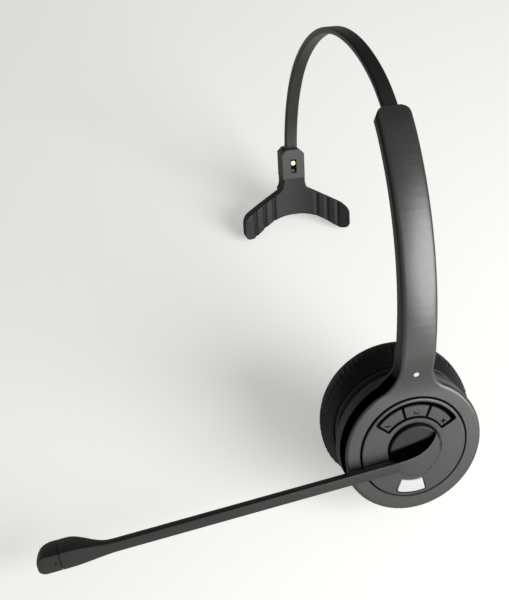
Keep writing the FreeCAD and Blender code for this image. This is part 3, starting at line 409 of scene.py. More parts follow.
circuit_black, tree, shader = new_material("circuit_black")
tone = blend_colour(tree, spread(tree, grain(tree, 1.2, 0.0), 0, 1, 0.5, 0.52),
                    (0.004, 0.007, 0.005), (0.010, 0.016, 0.012))
coat(tree, shader, tone, spread(tree, grain(tree, 2.0), 0.3, 0.45))
bumps(tree, shader, grain(tree, 1.2, 0.0), 0.02)
print("metals and circuit board made")

# %% [markdown]
# The cushion's skin is black imitation leather. Its grain is a net of tiny pebbles: a Voronoi
# distance gives the pebbles, a noise breaks them up, and the creases between them are a little
# duller than their tops, and painted a little darker as painted shade. The cloth behind the
# cushion's hole is a plain weave, made of two crossed waves.

# %% Leatherette and cloth
leatherette, tree, shader = new_material("leatherette")
pebbles = pattern(tree, "Voronoi", 0.55)
pebbles.feature = "SMOOTH_F1"
height = worked_out(tree, "Math", "MULTIPLY_ADD", pebbles.outputs["Distance"], -0.6,
                    grain(tree, 0.9, 4.0, 0.6))["Value"]
# Painted shade: the creases between the pebbles are darker than their tops.
tone = blend_colour(tree, spread(tree, height, 0, 1, 0.0, 0.5), (0.005, 0.005, 0.006),
                    (0.014, 0.014, 0.015))
coat(tree, shader, tone, spread(tree, height, 0.60, 0.42, 0.0, 0.5))
shader.inputs["Specular IOR Level"].default_value = 0.32
bumps(tree, shader, height, 0.05)

cloth_black, tree, shader = new_material("cloth_black")
thread_mm = 0.7
waves_per_unit = 0.314
threads = []
for direction in ("X", "Y"):
    wave = pattern(tree, "Wave", thread_mm / waves_per_unit)
    wave.bands_direction = direction
    wave.inputs["Distortion"].default_value = 0.6
    threads.append(wave.outputs["Fac"])
weave = worked_out(tree, "Math", "MULTIPLY", *threads)["Value"]
tone = blend_colour(tree, weave, (0.008, 0.008, 0.008), (0.04, 0.04, 0.04))
coat(tree, shader, tone, 0.9)
shader.inputs["Sheen Weight"].default_value = 0.3
bumps(tree, shader, weave, 0.12)
print("leatherette and cloth made")

# %% [markdown]
# ## Finish of the CAD pieces
# Most CAD nodes keep their shape and only get a material. The inner half of the cup,
# seen as a band behind the outer one, is paler than that. A node that a modelled piece
# replaces later gets its finish with that piece.

# %% Dressing the CAD nodes
finish = {
    "inner_shell": flank_grey, "speaker_housing": flank_grey, "status_light": light_frost,
    "mic_boot": pad_rubber, "friction_washer": washer_cream, "headband_cover": band_black,
    "headband_core": spring_steel, "friction_spring": spring_steel,
    "charging_socket": spring_steel, "driver_magnet": spring_steel,
    "clip_rivet": rivet_brass, "shell_screws": screw_black, "pivot_screw": screw_black,
    "retainer_screws": screw_black, "mic_capsule": foil, "radio_module": foil,
    "battery": foil, "circuit_board": circuit_black, "driver_diaphragm": film_clear,
    "speaker_cloth": cloth_black,
}
for name, piece in node.items():
    piece.data.materials.clear()
    piece.data.materials.append(finish.get(name, hidden_black))
print("dressed", len(node), "nodes")

# %% [markdown]
# ## Softened copies
# CAD edges are perfectly sharp, and a moulded edge never is: it catches a thin line of
# light. Where such an edge shows, the node is copied, its loose triangles are merged
# into faces again, and a Bevel modifier rounds the edges by a fraction of a millimetre.
# Its normals are then weighted by area, so that flat faces stay flat up to the rounding.
# What lies behind the front of a key or of the panel gets painted shade: a second, black
# material.

# %% Softened copy helper
def copied(source, name):
    """Copy of a CAD node with its triangles joined up."""
    piece = node[source].copy()
    piece.data = node[source].data.copy()
    piece.name = name
    piece.parent = None
    for key in list(piece.keys()):
        del piece[key]
    bpy.context.scene.collection.objects.link(piece)
    piece.hide_render = False
    edit(piece, "SELECT")
    bpy.ops.mesh.remove_doubles(threshold=0.004 * mm)
    done()
    if piece.data.has_custom_normals:
        bpy.ops.mesh.customdata_custom_splitnormals_clear()
    return piece


def paint_shade_on_sides(piece, deeper_mm):
    """Paints shade: a second, black material on what lies this far behind the piece's front."""
    depths = [(from_head @ p.center).y for p in piece.data.polygons]
    front = min(depths)
    for polygon, depth in zip(piece.data.polygons, depths):
        polygon.material_index = 1 if depth > front + deeper_mm else 0


def shaded(piece):
    """Smooth shading over gentle edges, with flat faces kept flat."""
    alone(piece)
    bpy.ops.object.shade_smooth_by_angle(angle=math.radians(32))
    flat = piece.modifiers.new("flat", "WEIGHTED_NORMAL")
    flat.keep_sharp = True
    settle(flat)


def softened(source, name, round_mm, reshape=None):
    """Copy of a CAD node with rounded edges, which takes the node's place."""
    piece = copied(source, name)
    if reshape:
        reshape(piece)
    edit(piece, "SELECT")
    bpy.ops.mesh.dissolve_limited(angle_limit=math.radians(1.5))
    done()
    rounding = piece.modifiers.new("rounding", "BEVEL")
    rounding.width = round_mm * mm
    rounding.segments = 3
    rounding.limit_method = "ANGLE"
    rounding.angle_limit = math.radians(30)
    settle(rounding)
    shaded(piece)
    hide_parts(source)
    return piece


# %% [markdown]
# The gap round the panel and the pocket above the arc keys read as broad black lines on
# such a headset, so the panel's rim draws in a little and the pocket's outer wall draws
# outward. The hidden lips of the keys follow it and keep the pocket closed.

# %% Keys, panel and clip
panel_rim = 21.6
panel_draw_in = 0.17
pocket_inner = 19.0
pocket_outer = 20.3
pocket_fade = 0.9
pocket_wider = 0.7
lip_inner = 19.3


def push_out(point, place, by_mm):
    """Moves a mesh point away from the cup's axis."""
    away = at(place.x, 0, place.z) - at(0, 0, 0)
    point.co += away * (by_mm / math.hypot(place.x, place.z))


def open_gaps(piece):
    """Opens the gap round the panel and the pocket above the keys a little."""
    for point in piece.data.vertices:
        place = from_head @ point.co
        radius = math.hypot(place.x, place.z)
        if radius > panel_rim:
            push_out(point, place, -panel_draw_in)
        elif place.z > 0 and pocket_inner < radius < pocket_outer:
            share = min(1.0, (radius - pocket_inner) / pocket_fade)
            push_out(point, place, pocket_wider * share)


def widen_lip(piece):
    """Draws a key's hidden lip outward, so that it still closes the wider pocket."""
    for point in piece.data.vertices:
        place = from_head @ point.co
        if math.hypot(place.x, place.z) > lip_inner:
            push_out(point, place, pocket_wider)


panel = softened("face_panel", "key_panel", 0.25, open_gaps)
rides(panel, "ear_cup", "panel_plastic", panel_charcoal, shade_and_ink_black)
# Painted shade on the sides and lips behind the fronts of the panel and the keys.
paint_shade_on_sides(panel, 0.95)
keys = {}
for body in ("volume_down", "call", "volume_up"):
    keys[body] = softened(body + "_key", body + "_key_cap", 0.22, widen_lip)
    rides(keys[body], body, "key_plastic", key_charcoal, shade_and_ink_black)
    paint_shade_on_sides(keys[body], 0.6)
mute = softened("mute_key", "mute_key_cap", 0.4)
rides(mute, "mute", "mute_key_plastic", gloss_white, shade_and_ink_black)
paint_shade_on_sides(mute, 1.1)
for source, round_mm in (("clip_front", 0.35), ("clip_back", 0.3)):
    half = softened(source, source + "_half", round_mm)
    rides(half, "temple_rest", "shell_plastic", clip_charcoal)

# %% [markdown]
# ## Crowned arm
# The front of the arm looks flat, but light rolls across it, because it is crowned by about half
# a millimetre. The outer shell is copied and its long front is cut by bisecting planes,
# lengthwise into narrow strips and then across. Its points are set on the true arc of the arm,
# which has the same centre as the arc of the sliding band, and lifted along an arch that fades
# out towards the neck and the tip. The panel's recess gets painted shade, matt black. The
# forward side walls get a darker copy of the shell's material as painted shade, black round the
# cup and grey again up the arm.

# %% Crowned arm
crown = 0.5
crown_low = 36.0
crown_fade_low = 24.0
crown_fade_tip = 6.0
half_strips = 8
strip_length = 2.5
largest_sag = 0.06
recess_radius = 22.7
ring_radius = 24.0
shell = copied("outer_shell", "crowned_shell")


def on_front(middle, normal):
    """Whether a face belongs to the long front of the arm."""
    place = from_head @ middle
    return (place.z > crown_low - 3 and normal.dot(inward) < -0.55
            and abs(normal.dot(rearward)) < 0.04)


fronts = [p for p in shell.data.polygons if on_front(p.center, p.normal)]
corners = [from_head @ shell.data.vertices[i].co for p in fronts for i in p.vertices]
half_flat = max(c.x for c in corners)
tip = max(c.z for c in corners)
print("flat front", round(2 * half_flat, 2), "wide, up to", round(tip, 1))
cuts = [(at(cut * half_flat / half_strips, 0, 0), rearward)
        for cut in range(1 - half_strips, half_strips)]
cuts += [(at(0, 0, crown_low + strip_length * cut), upward)
         for cut in range(int((tip - crown_low) / strip_length))]
edit(shell)
for place, normal in cuts:
    pick_faces(shell, on_front)
    bpy.ops.mesh.bisect(plane_co=place, plane_no=normal)
done()
strips = [p for p in shell.data.polygons if on_front(p.center, p.normal)]
arc_centre = from_head @ Vector(joint["headband_extend"]["pos_m"])
spokes = [math.hypot(c.y - arc_centre.y, c.z - arc_centre.z) for c in corners]
arc_radius = sorted(spokes)[len(spokes) // 2]
for index in {i for p in strips for i in p.vertices}:
    place = from_head @ shell.data.vertices[index].co
    rise = (ease((place.z - crown_low) / crown_fade_low)
            * ease((tip - place.z) / crown_fade_tip))
    arch = max(0.0, 1.0 - (place.x / half_flat) ** 2)
    spoke = Vector((0, place.y - arc_centre.y, place.z - arc_centre.z))
    sag = arc_radius - spoke.length
    lift = crown * rise * arch + (sag if abs(sag) < largest_sag else 0.0)
    shell.data.vertices[index].co = head @ (place + spoke.normalized() * lift)
shaded(shell)
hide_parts("outer_shell")
rides(shell, "ear_cup", "shell_plastic", shell_charcoal, shade_and_ink_black, shell_side_painted_shade)
# Painted shade: the recess and the forward side walls get the black materials.
for polygon in shell.data.polygons:
    middle = from_head @ polygon.center
    radius = math.hypot(middle.x, middle.z)
    in_recess = radius < recess_radius and middle.y > 0.35
    on_side = (radius > ring_radius and polygon.normal.dot(inward) > -0.66
               and polygon.normal.dot(rearward) < 0.2)
    polygon.material_index = 1 if in_recess else 2 if on_side else 0

# %% [markdown]
# ## Signs on the keys
# The volume keys carry a printed minus and plus, and the call key a small handset. A
# sign is a skin of ink on a flat face, so it is a very thin slab. A plus is a square
# whose sides are all extruded, each along its own direction. The handset is a short
# profile spun over an arc, and its two ends are drawn out. The minus and the plus sit
# near the outer ends of the row of keys.

# %% Signs
stroke = 0.52
ink_depth = 0.08
sign_arm = 0.95
sign_turn = 11
handset_radius = 1.0


def key_front(key):
    """Middle of a key's flat front, in the wearer's frame."""
    front = min((from_head @ v.co).y for v in key.data.vertices)
    faces = [p for p in key.data.polygons if p.normal.dot(inward) < -0.95
             and (from_head @ p.center).y < front + 0.2]
    middle = sum((p.center * p.area for p in faces), Vector()) / sum(p.area for p in faces)
    return from_head @ middle


def printed(ink, body):
    """Lays a sign on the table and lets it move with its key."""
    lay_down(ink)
    rides(ink, body, None, shade_and_ink_black)


def sign(name, body, has_upright, onward):
    """A minus or a plus, this many degrees onward from the middle of its key."""
    place = Matrix.Rotation(math.radians(onward), 3, "Y") @ key_front(keys[body])
    bpy.ops.mesh.primitive_cube_add(size=1, location=place)
    bpy.context.object.scale = (stroke, ink_depth, stroke)
    ink = fresh(name)
    edit(ink)
    pick_faces(ink, lambda c, n: abs(n.x) > 0.9 or (has_upright and abs(n.z) > 0.9))
    bpy.ops.mesh.extrude_faces_move(TRANSFORM_OT_shrink_fatten={"value": sign_arm})
    bpy.ops.mesh.select_all(action="SELECT")
    bpy.ops.mesh.bevel(offset=0.03, segments=1)
    done()
    printed(ink, body)


sign("minus_sign", "volume_down", False, -sign_turn)
sign("plus_sign", "volume_up", True, sign_turn)

# %% Handset sign
centre = key_front(keys["call"])


def is_end(middle, normal):
    """Whether a face closes the handset's arc."""
    return abs(normal.y) < 0.1 and abs(normal.dot((middle - centre).normalized())) < 0.05


bpy.ops.mesh.primitive_plane_add(size=1, location=centre + Vector((-handset_radius, 0, 0)))
bpy.context.object.scale = (0.42, ink_depth, 1)
handset = fresh("handset_sign")
edit(handset, "SELECT")
bpy.ops.mesh.spin(steps=10, angle=math.radians(140), center=centre, axis=(0, 1, 0))
pick_faces(handset, is_end)
bpy.ops.mesh.normals_make_consistent(inside=False)
bpy.ops.mesh.extrude_faces_move(TRANSFORM_OT_shrink_fatten={"value": 0.45})
done()
printed(handset, "call")

# %% [markdown]
# ## Boom
# The boom is a flat bar that swells into a pod for the microphone. It could be one CAD
# sweep, but its charm is in the way the flat face stays crisp while the back swells
# like a drop. So it is drawn out of a circle: its outline is pressed into the first
# cross-section, and then extruded again and again, each time onto the next one. Every
# cross-section is a rectangle with finely rounded front corners and generously rounded
# back ones. Towards the tip the sections crowd together and shrink along quarter
# ellipses, so the end closes like a thumb.

# %% Sections of the bar and pod
bar_face = -5.3
bar_low = -6.05
bar_high = -1.62
bar_depth = 3.7
back_corner = 0.95
largest_corner = 0.42
pod_start = 122.5
pod_reach = 19.0
pod_drop = 1.4
pod_rise = 1.85
pod_swell = 7.2
tip_depth = 1.3
tip_round = 6.6
tip_taper = 3.2
cap_seam = 144.8
boom_tip = 153.6
corner_points = 6


def quarter(left, reach):
    """Grows from 0 at the tip to 1 at this reach from it, like a quarter circle."""
    t = max(0.0, 1 - left / reach)
    return math.sqrt(max(0.0, 1 - t * t))


def boom_section(u):
    """Outline, from the front upper corner round, of the section at u from the hub."""
    swell = ease((u - pod_start) / pod_reach)
    low = bar_low - pod_drop * swell
    high = bar_high + pod_rise * swell
    depth = bar_depth + pod_swell * ease((u - pod_start - 3.0) / (pod_reach - 3.0))
    back_round = back_corner + 1.1 * swell
    left = boom_tip - u
    depth = tip_depth + (depth - tip_depth) * quarter(left, tip_round)
    low += 2.7 * (1 - quarter(left, tip_taper))
    high -= 2.5 * (1 - quarter(left, tip_taper))
    back_round = min(back_round, largest_corner * depth, largest_corner * (high - low))
    front_round = min(0.38, largest_corner * depth)
    corners = ((bar_face, high, 1, -1, front_round), (bar_face, low, 1, 1, front_round),
               (bar_face + depth, low, -1, 1, back_round),
               (bar_face + depth, high, -1, -1, back_round))
    outline = []
    for turn, (y, z, in_y, in_z, size) in enumerate(corners):
        for step in range(corner_points):
            angle = math.radians(90.0 * (turn + 1 + step / (corner_points - 1)))
            outline.append(Vector((-u, y + size * (in_y + math.cos(angle)),
                                   z + size * (in_z + math.sin(angle)))))
    return outline


def fit_end(piece, old, new):
    """Moves each selected point from its place on the old outline to the new one's."""
    mesh = bmesh.from_edit_mesh(piece.data)
    for point in [v for v in mesh.verts if v.select]:
        nearest = min(range(len(old)), key=lambda k: (point.co - old[k]).length_squared)
        point.co = new[nearest]
    bmesh.update_edit_mesh(piece.data)


def draw_out(name, stops):
    """Bar from the first stop to the last, extruded section by section."""
    outline = boom_section(stops[0])
    bpy.ops.mesh.primitive_circle_add(vertices=len(outline), radius=1.0, fill_type="NGON",
                                      rotation=(0, -math.pi / 2, 0))
    piece = fresh(name)
    circle = [v.co.copy() for v in piece.data.vertices]
    edit(piece, "SELECT")
    fit_end(piece, circle, outline)
    for stop in stops[1:]:
        bpy.ops.mesh.extrude_region_move()
        following = boom_section(stop)
        fit_end(piece, outline, following)
        outline = following
    done()
    return piece


straight = [8.6, 40.0, 80.0, 110.0]
swelling = [118.0 + 1.5 * i for i in range(20)]
closing = [boom_tip - tip_round * (1 - math.sin(math.radians(a))) for a in range(4, 88, 6)]
stops = straight + swelling + closing + [boom_tip - 0.004]
whole_boom = draw_out("boom_bar", stops)
print("boom sections", len(stops))

# %% [markdown]
# The end cap is a separate moulding, held by a seam that shows as a hair line. The
# whole boom is copied and bisected at the seam, once keeping each side, so that the two
# mouldings line up exactly. The rim of each cut is bevelled: two bevels that face each
# other make the dark line. A small hole for the microphone is drilled into the cap.

# %% Bar, end cap and the seam between them
boom_droop = math.radians(7.0)
boom_lean = math.radians(1.2)
boom_place = (Matrix.Rotation(-boom_droop, 4, "Y")
              @ Matrix.Translation((0, bar_face, 0))
              @ Matrix.Rotation(-boom_lean, 4, "Z")
              @ Matrix.Translation((0, -bar_face, 0)))
seam_gap = 0.16
seam_round = 0.16


def cut_at_seam(source, name, keep_tip):
    """Copy of the boom with only its tip, or only what comes before the seam."""
    piece = source.copy()
    piece.data = source.data.copy()
    piece.name = name
    bpy.context.scene.collection.objects.link(piece)
    cut = -cap_seam - seam_gap if keep_tip else -cap_seam
    edit(piece, "SELECT")
    bpy.ops.mesh.bisect(plane_co=(cut, 0, 0), plane_no=(1, 0, 0), use_fill=True,
                        clear_inner=not keep_tip, clear_outer=keep_tip)
    pick_faces(piece, lambda c, n: abs(c.x - cut) < 0.01)
    bpy.ops.mesh.bevel(offset=seam_round, segments=2, affect="EDGES")
    done()
    return piece


boom_bar = cut_at_seam(whole_boom, "boom_bar_front", False)
end_cap = cut_at_seam(whole_boom, "mic_end_cap_round", True)
bpy.data.objects.remove(whole_boom)

mic_hole_u = cap_seam + (boom_tip - cap_seam) * 0.22
mic_hole_radius = 0.5
bpy.ops.mesh.primitive_cylinder_add(vertices=24, radius=mic_hole_radius, depth=3.0,
                                    location=(-mic_hole_u, bar_face, -3.6),
                                    rotation=(math.pi / 2, 0, 0))
hole_cutter = fresh("mic_hole_cutter")
alone(end_cap)
drill = end_cap.modifiers.new("drill", "BOOLEAN")
drill.object = hole_cutter
drill.operation = "DIFFERENCE"
settle(drill)
bpy.data.objects.remove(hole_cutter)
for piece in (boom_bar, end_cap):
    piece.matrix_world = boom_place
    lay_down(piece)
    mesh = bmesh.new()
    mesh.from_mesh(piece.data)
    print(piece.name, "open edges", sum(not e.is_manifold for e in mesh.edges))
    mesh.free()
    rides(piece, "boom", "shell_plastic", boom_charcoal)
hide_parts("mic_end_cap")

# %% [markdown]
# ## Hub
# The bar ends in a round hub that turns in the panel's well. Its face has two levels.
# The floor, at the upper left, is a tilted flat that rolls over a soft ridge into a shallow
# valley. The crescent, at the lower right, runs on from the bar at the bar's own height and
# sinks as it curls round, with an upright wall towards the valley. A height map alone would make
# that wall ragged, so the hub is two pieces: the floor is a disc of fine rings whose points are
# pressed into the ridge and valley, and the crescent is cut from its own outline and lies on it.
# The wall is painted matt black as painted shade, and the floor gets a painted shadow that goes
# black towards it.

# %% Lines on the hub's face
hub_radius = 10.6
hub_back = 0.85
rim_round = 0.45
crest_line = [(-10.25, -2.83), (-4.2, -2.1), (0.3, -1.35), (3.9, 0.4), (6.5, 3.0),
              (7.7, 5.2), (8.2, 6.7)]
ridge_start, ridge_stop = Vector((-10.6, -1.7)), Vector((8.2, 6.9))
ridge_soft = 1.2
floor_middle = 1.75
floor_tilt = 0.055
valley_depth = 0.62
ring_step = 0.22
crescent_drop = 2.45
top_start = -1.5


def smooth_line(corners, rounds=3):
    """Corner cutting: each round replaces a corner by two softer ones."""
    line = [Vector(c) for c in corners]
    for _ in range(rounds):
        cut = [line[0]]
        for a, b in zip(line, line[1:]):
            cut += [a.lerp(b, 0.25), a.lerp(b, 0.75)]
        line = cut + [line[-1]]
    return line


crest = smooth_line(crest_line)


def short_of_crest(x, z):
    """Distance from the crest line, positive on the floor's side of it."""
    here = Vector((x, z))
    best, side = 1e9, 1.0
    for a, b in zip(crest, crest[1:]):
        along = b - a
        t = max(0.0, min(1.0, (here - a).dot(along) / along.length_squared))
        off = here - (a + along * t)
        if off.length < best:
            best = off.length
            side = -1.0 if along.x * off.y - along.y * off.x < 0 else 1.0
    return side * best


def floor_height(x, z):
    """How far the hub's floor stands in front of the cup's face."""
    high = floor_middle + floor_tilt * (x * 0.8 + z * 0.6)
    along = (ridge_stop - ridge_start).normalized()
    off = Vector((x, z)) - ridge_start
    past_ridge = along.y * off.x - along.x * off.y
    if past_ridge > -ridge_soft:
        short = max(0.0, short_of_crest(x, z))
        t = (past_ridge + ridge_soft) / max(0.3, past_ridge + ridge_soft + short)
        deep = min(valley_depth, 0.42 * (past_ridge + short + 0.6))
        high -= max(0.0, deep) * ease(t)
    edge = max(0.0, (math.hypot(x, z) - (hub_radius - rim_round)) / rim_round)
    return high - rim_round * (1 - math.sqrt(max(0.0, 1 - min(1.0, edge) ** 2)))


def crescent_height(x):
    """Level with the bar at the left, and sinking towards the far horn."""
    far = max(0.0, min(1.0, (x + 8.0) / 17.5))
    beside_bar = -bar_face + math.tan(boom_lean) * min(0.0, x) + 0.005
    return beside_bar - crescent_drop * far ** 1.4


# %% Hub floor
# Painted shadow: past this edge the hub's floor goes black, towards the crescent's wall.
valley_shadow_edge = at(-1.4, -1.6, 3.2)
paint_shade_beyond(hub_floor_painted_shade, valley_shadow_edge, 0.25 * rearward - 0.97 * upward, 0.6)
bpy.ops.mesh.primitive_circle_add(vertices=200, radius=hub_radius, fill_type="NOTHING",
                                  rotation=(math.pi / 2, 0, 0))
hub = fresh("boom_hub")
edit(hub)
bpy.ops.mesh.select_mode(type="EDGE")
bpy.ops.mesh.select_all(action="SELECT")
rings = ([hub_radius - rim_round * math.sin(math.radians(a)) for a in (4, 12, 26, 42, 62, 90)]
         + [hub_radius - rim_round - ring_step * i for i in range(1, 45)])
previous = hub_radius
for radius in rings:
    bpy.ops.mesh.extrude_edges_move()
    share = radius / previous
    bpy.ops.transform.resize(value=(share, 1, share), center_override=(0, 0, 0))
    previous = radius
bpy.ops.mesh.merge(type="CENTER")
done()
for point in hub.data.vertices:
    point.co.y = -floor_height(point.co.x, point.co.z)
edit(hub)
pick_edges(hub, lambda a, b: min(math.hypot(a.x, a.z), math.hypot(b.x, b.z))
           > hub_radius - 1e-3)
bpy.ops.mesh.extrude_edges_move()
mesh = bmesh.from_edit_mesh(hub.data)
for point in [v for v in mesh.verts if v.select]:
    point.co.y = hub_back
bmesh.update_edit_mesh(hub.data)
bpy.ops.mesh.edge_face_add()
done()
lay_down(hub, 40.0)
rides(hub, "boom", "shell_plastic", hub_floor_painted_shade)
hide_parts("boom_arm")

# %% [markdown]
# The crescent starts as a filled circle with as many points as its outline: the points move onto
# the crest line and the rim, and the face is extruded. Its top is one face with dozens of
# corners, which can't bend, so bisect cuts it into small rectangles, whose corners then get
# their own height. The edges are bevelled last, and the steep faces inside the rim, which are
# the wall, get a black material: painted shade.

# %% Hub crescent
start_turn = math.atan2(crest[0].y, crest[0].x)
stop_turn = math.atan2(crest[-1].y, crest[-1].x)
around = 2 * math.pi + start_turn - stop_turn
rim = [stop_turn - (2 * math.pi - around) * k / 60 for k in range(1, 60)]
horn = [Vector((c.x, 0, c.y)) for c in crest] + [
    Vector((hub_radius * math.cos(a), 0, hub_radius * math.sin(a))) for a in rim]
bpy.ops.mesh.primitive_circle_add(vertices=len(horn), radius=1.0, fill_type="NGON",
                                  rotation=(math.pi / 2, 0, 0))
crescent = fresh("hub_crescent")
circle = [v.co.copy() for v in crescent.data.vertices]
edit(crescent, "SELECT")
fit_end(crescent, circle, horn)
bpy.ops.mesh.extrude_region_move(TRANSFORM_OT_translate={"value": (0, -1, 0)})
cuts = [((-hub_radius + cut / 3.0, 0, 0), (1, 0, 0)) for cut in range(1, 64)]
cuts += [((0, 0, -10.4 + cut * 0.62), (0, 0, 1)) for cut in range(1, 28)]
for place, normal in cuts:
    bpy.ops.mesh.select_all(action="SELECT")
    bpy.ops.mesh.bisect(plane_co=place, plane_no=normal)
done()
for point in crescent.data.vertices:
    on_top = point.co.y < -0.5
    point.co.y = -crescent_height(point.co.x) if on_top else hub_back - 0.01
edit(crescent)


def on_free_rim(a, b):
    """Whether an edge of the top runs along the hub's rim, away from the bar."""
    return max(a.y, b.y) < top_start and all(
        math.hypot(p.x, p.z) > hub_radius - 0.02 and not (p.x < -5.0 and p.z > -7.6)
        for p in (a, b))


def on_crest(a, b):
    """Whether an edge of the top runs along the crest line."""
    return max(a.y, b.y) < top_start and abs(a.x - b.x) > 1e-4 and all(
        abs(short_of_crest(p.x, p.z)) < 0.01 and math.hypot(p.x, p.z) < hub_radius - 0.01
        for p in (a, b))


print("rim edges", pick_edges(crescent, on_free_rim))
bpy.ops.mesh.bevel(offset=0.4, segments=4, affect="EDGES")
print("crest edges", pick_edges(crescent, on_crest))
bpy.ops.mesh.bevel(offset=0.2, segments=3, affect="EDGES")
edit(crescent, "SELECT")
bpy.ops.mesh.remove_doubles(threshold=0.002)
done()
lay_down(crescent, 30.0)
tops = [p for p in crescent.data.polygons if abs(p.normal.dot(inward)) > 0.9
        and (from_head @ p.center).y < top_start]
if sum(p.normal.dot(inward) < 0 for p in tops) < len(tops) / 2:
    crescent.data.flip_normals()
print("crescent front faces outward:",
      sum(p.normal.dot(inward) < 0 for p in tops), "of", len(tops))
rides(crescent, "boom", "shell_plastic", boom_charcoal, shade_and_ink_black)
# Painted shade: the steep wall inside the rim gets the black material.
for polygon in crescent.data.polygons:
    middle = from_head @ polygon.center
    steep = polygon.normal.dot(inward) > -0.6
    inside = math.hypot(middle.x, middle.z) < hub_radius - 0.3
    polygon.material_index = 1 if steep and inside else 0

# %% [markdown]
# ## Ear cushion
# The cushion is a ring of foam in a skin of imitation leather. The skin is gathered at
# a seam near its widest round, so short pleats run over its shoulder. The CAD ring is
# copied, made a little smaller and remeshed into even squares. A cloth simulation with
# air pressure inside then crowns it, and its points may move only a little way. The
# seam, the pleats and the wide swellings of worn foam are pressed in afterwards, because
# a remesh would lose them.

# %% Cushion's own directions
swivel_rest = math.radians(7.3)
ball = Vector((0, 10.4, 0))
cushion_axis = Vector((math.sin(swivel_rest), math.cos(swivel_rest), 0))
cushion_up = Vector((0, 0, 1))
cushion_side = cushion_axis.cross(cushion_up)


def cushion_place(point):
    """Depth from the cup's face, radius and angle of a point about the cushion's axis."""
    off = from_head @ point - ball
    depth = off.dot(cushion_axis)
    side, up = off.dot(cushion_side), off.dot(cushion_up)
    return depth + ball.y, math.hypot(side, up), math.atan2(up, side)


def outward_of(angle):
    """Direction away from the cushion's axis, on the table."""
    out = cushion_side * math.cos(angle) + cushion_up * math.sin(angle)
    return head_turn.to_3x3() @ out


print("cushion tilted by", round(math.degrees(swivel_rest), 1), "degrees")

# %% Cushion
shrink = 0.985
most = 0.9 * mm
frames = 20
cushion = copied("ear_cushion", "cushion")
middle = sum((v.co for v in cushion.data.vertices), Vector()) / len(cushion.data.vertices)
edit(cushion, "SELECT")
bpy.ops.transform.resize(value=(shrink, shrink, shrink), center_override=middle)
done()
cushion.data.remesh_voxel_size = 1.3 * mm
bpy.ops.object.voxel_remesh()
start = [v.co.copy() for v in cushion.data.vertices]
air = cushion.modifiers.new("air", "CLOTH")
air.settings.use_pressure = True
air.settings.uniform_pressure_force = 4.0
air.settings.quality = 5
air.settings.effector_weights.gravity = 0.0
for frame_number in range(1, frames + 1):
    bpy.context.scene.frame_set(frame_number)
puffed = cushion.evaluated_get(bpy.context.evaluated_depsgraph_get())
moves = [v.co - s for v, s in zip(puffed.data.vertices, start)]
cushion.modifiers.remove(air)
bpy.context.scene.frame_set(1)
for point, here, move in zip(cushion.data.vertices, start, moves):
    point.co = here + move * min(1.0, most / max(move.length, 1e-9))
print("cushion crowned by up to", round(max(m.length for m in moves) * 1000, 2), "mm")
finer = cushion.modifiers.new("finer", "SUBSURF")
finer.levels = finer.render_levels = 1
alone(cushion)
settle(finer)

# %% Seam and pleats of the cushion
skin_inner = 24.0
seam_depth = 24.8
shoulder_depth = 32.0
pleats = 74


def bell(off, reach):
    """1 at the middle, and near nothing at twice this reach."""
    return math.exp(-(off / reach) ** 2)


def swell(angle, middle, reach, height):
    """A wide swelling of the foam round one direction, in millimetres."""
    return height * bell((math.degrees(angle) - middle + 180) % 360 - 180, reach)


def unevenness(angle, lumps, level):
    """Noise that closes on itself round the cushion."""
    return noise.noise(Vector((math.cos(angle) * lumps, math.sin(angle) * lumps, level)))


def pleat_fade(beyond):
    """Strength of the pleats this far past the seam: strong after it, weak before."""
    if beyond > 0:
        return bell(beyond, 4.5) * min(1.0, beyond / 0.8)
    return 0.35 * bell(beyond, 0.9) * min(1.0, -beyond / 0.6)


for point in cushion.data.vertices:
    depth, radius, angle = cushion_place(point.co)
    if radius < skin_inner:
        continue
    beyond = depth - seam_depth
    push = -0.38 * bell(beyond, 0.5)
    foam = swell(angle, 212, 24, 0.9) - swell(angle, 160, 30, 0.3)
    foam += 0.18 * unevenness(angle, 4, 8.3)
    push += foam * bell(beyond, 8.0)
    push += swell(angle, 80, 36, 0.95) * bell(depth - shoulder_depth, 7.0)
    if beyond > -1.6:
        phase = angle * pleats + 3.0 * unevenness(angle, 3, 1.7)
        pleat = 0.42 + 0.30 * unevenness(angle, 9, 4.1)
        push -= pleat * pleat_fade(beyond) * (0.5 + 0.5 * math.cos(phase)) ** 2
    point.co += outward_of(angle) * push * mm
bpy.ops.object.shade_smooth()
rides(cushion, "speaker", "leatherette", leatherette)
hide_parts("ear_cushion")

# %% [markdown]
# ## Temple pad
# The pad that rests above the other ear is soft black rubber. Its legs carry three
# upright channels each on the side that touches the head. The CAD solid has them as
# sharp valleys; here the copy is remeshed finely and relaxed a little, which softens
# their edges and the rims of the legs as moulded rubber softens them.

# %% Pad
pad = copied("temple_pad", "pad")
pad.data.remesh_voxel_size = 0.45 * mm
bpy.ops.object.voxel_remesh()
relax = pad.modifiers.new("relax", "SMOOTH")
relax.factor = 0.5
relax.iterations = 4
settle(relax)
bpy.ops.object.shade_smooth()
rides(pad, "temple_rest", "pad_rubber", pad_rubber)
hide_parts("temple_pad")

# %% [markdown]
# ## Floor and light
# The headset lies on a pale sheet. A black plastic thing shows its shape through what it
# mirrors, so the room matters more than the lamp: it is bright in front, where the
# camera stands, and dim overhead and behind. The faces turned to the front then read
# grey, and the sides turned up read nearly black, which draws the edges between them.
# One soft lamp at the right gives the shadows a direction. The sheet would be grey in that
# light, so for the camera alone its material adds a glow of its own; the shadows that fall on it
# stay. The glow is stronger towards the right, a painted light falloff from the lamp's side.

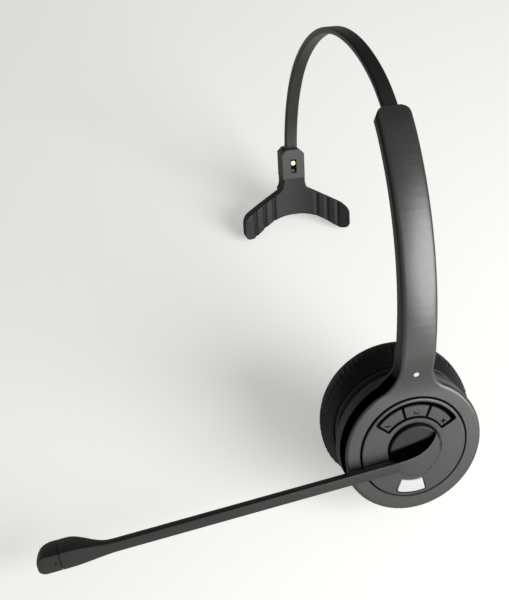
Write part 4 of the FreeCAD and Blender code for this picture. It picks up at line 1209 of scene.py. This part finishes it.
# %% Floor
bpy.ops.mesh.primitive_plane_add(size=6, location=(0, 0, 0))
floor = bpy.context.object
floor.name = "floor"
paper, tree, shader = new_material("paper")
place = tree.nodes.new("ShaderNodeTexCoord")
axes = tree.nodes.new("ShaderNodeSeparateXYZ")
tree.links.new(place.outputs["Object"], axes.inputs["Vector"])
right = spread(tree, axes.outputs["X"], 0, 1, -0.15, 0.16)
fibre = spread(tree, grain(tree, 2.0, 3.0), 0, 1)
tone = blend_colour(tree, fibre, (0.84, 0.845, 0.815), (0.87, 0.875, 0.845))
coat(tree, shader, tone, 0.9)
shader.inputs["Specular IOR Level"].default_value = 0.1
# Painted light: the glow grows towards the right, the lamp's side.
glow = blend_colour(tree, right, (0.365, 0.372, 0.355), (0.430, 0.435, 0.415))
tree.links.new(glow, shader.inputs["Emission Color"])
rays = tree.nodes.new("ShaderNodeLightPath")
tree.links.new(rays.outputs["Is Camera Ray"], shader.inputs["Emission Strength"])
floor.data.materials.append(paper)
print("floor made")

# %% Room
world = bpy.data.worlds.new("studio")
bpy.context.scene.world = world
world.use_nodes = True
tree = world.node_tree
place = tree.nodes.new("ShaderNodeTexCoord").outputs["Generated"]
bright_side = Vector((0.35, -0.90, 0.20)).normalized()
toward = worked_out(tree, "VectorMath", "DOT_PRODUCT", place, bright_side)["Value"]
front = spread(tree, toward, 0.07, 0.345, -0.3, 0.9)
tree.links.new(front, tree.nodes["Background"].inputs["Strength"])
tree.nodes["Background"].inputs["Color"].default_value = (1.0, 1.0, 0.985, 1)

# %% Lamp
lamp_turn = math.radians(38)
lamp_rise = math.radians(23)
lamp_from = Vector((math.sin(lamp_turn) * math.cos(lamp_rise),
                    -math.cos(lamp_turn) * math.cos(lamp_rise), math.sin(lamp_rise)))
lamp_aim = Vector((0, 0, 0.06))
bpy.ops.object.light_add(type="AREA", location=lamp_aim + lamp_from)
lamp = bpy.context.object
lamp.name = "soft_lamp"
lamp.data.shape = "DISK"
lamp.data.size = 0.82
lamp.data.energy = 11.4
lamp.rotation_euler = (-lamp_from).to_track_quat("-Z", "Y").to_euler()
bpy.context.scene.view_settings.view_transform = "Standard"

# %% Last update of the view layer
bpy.context.view_layer.update()
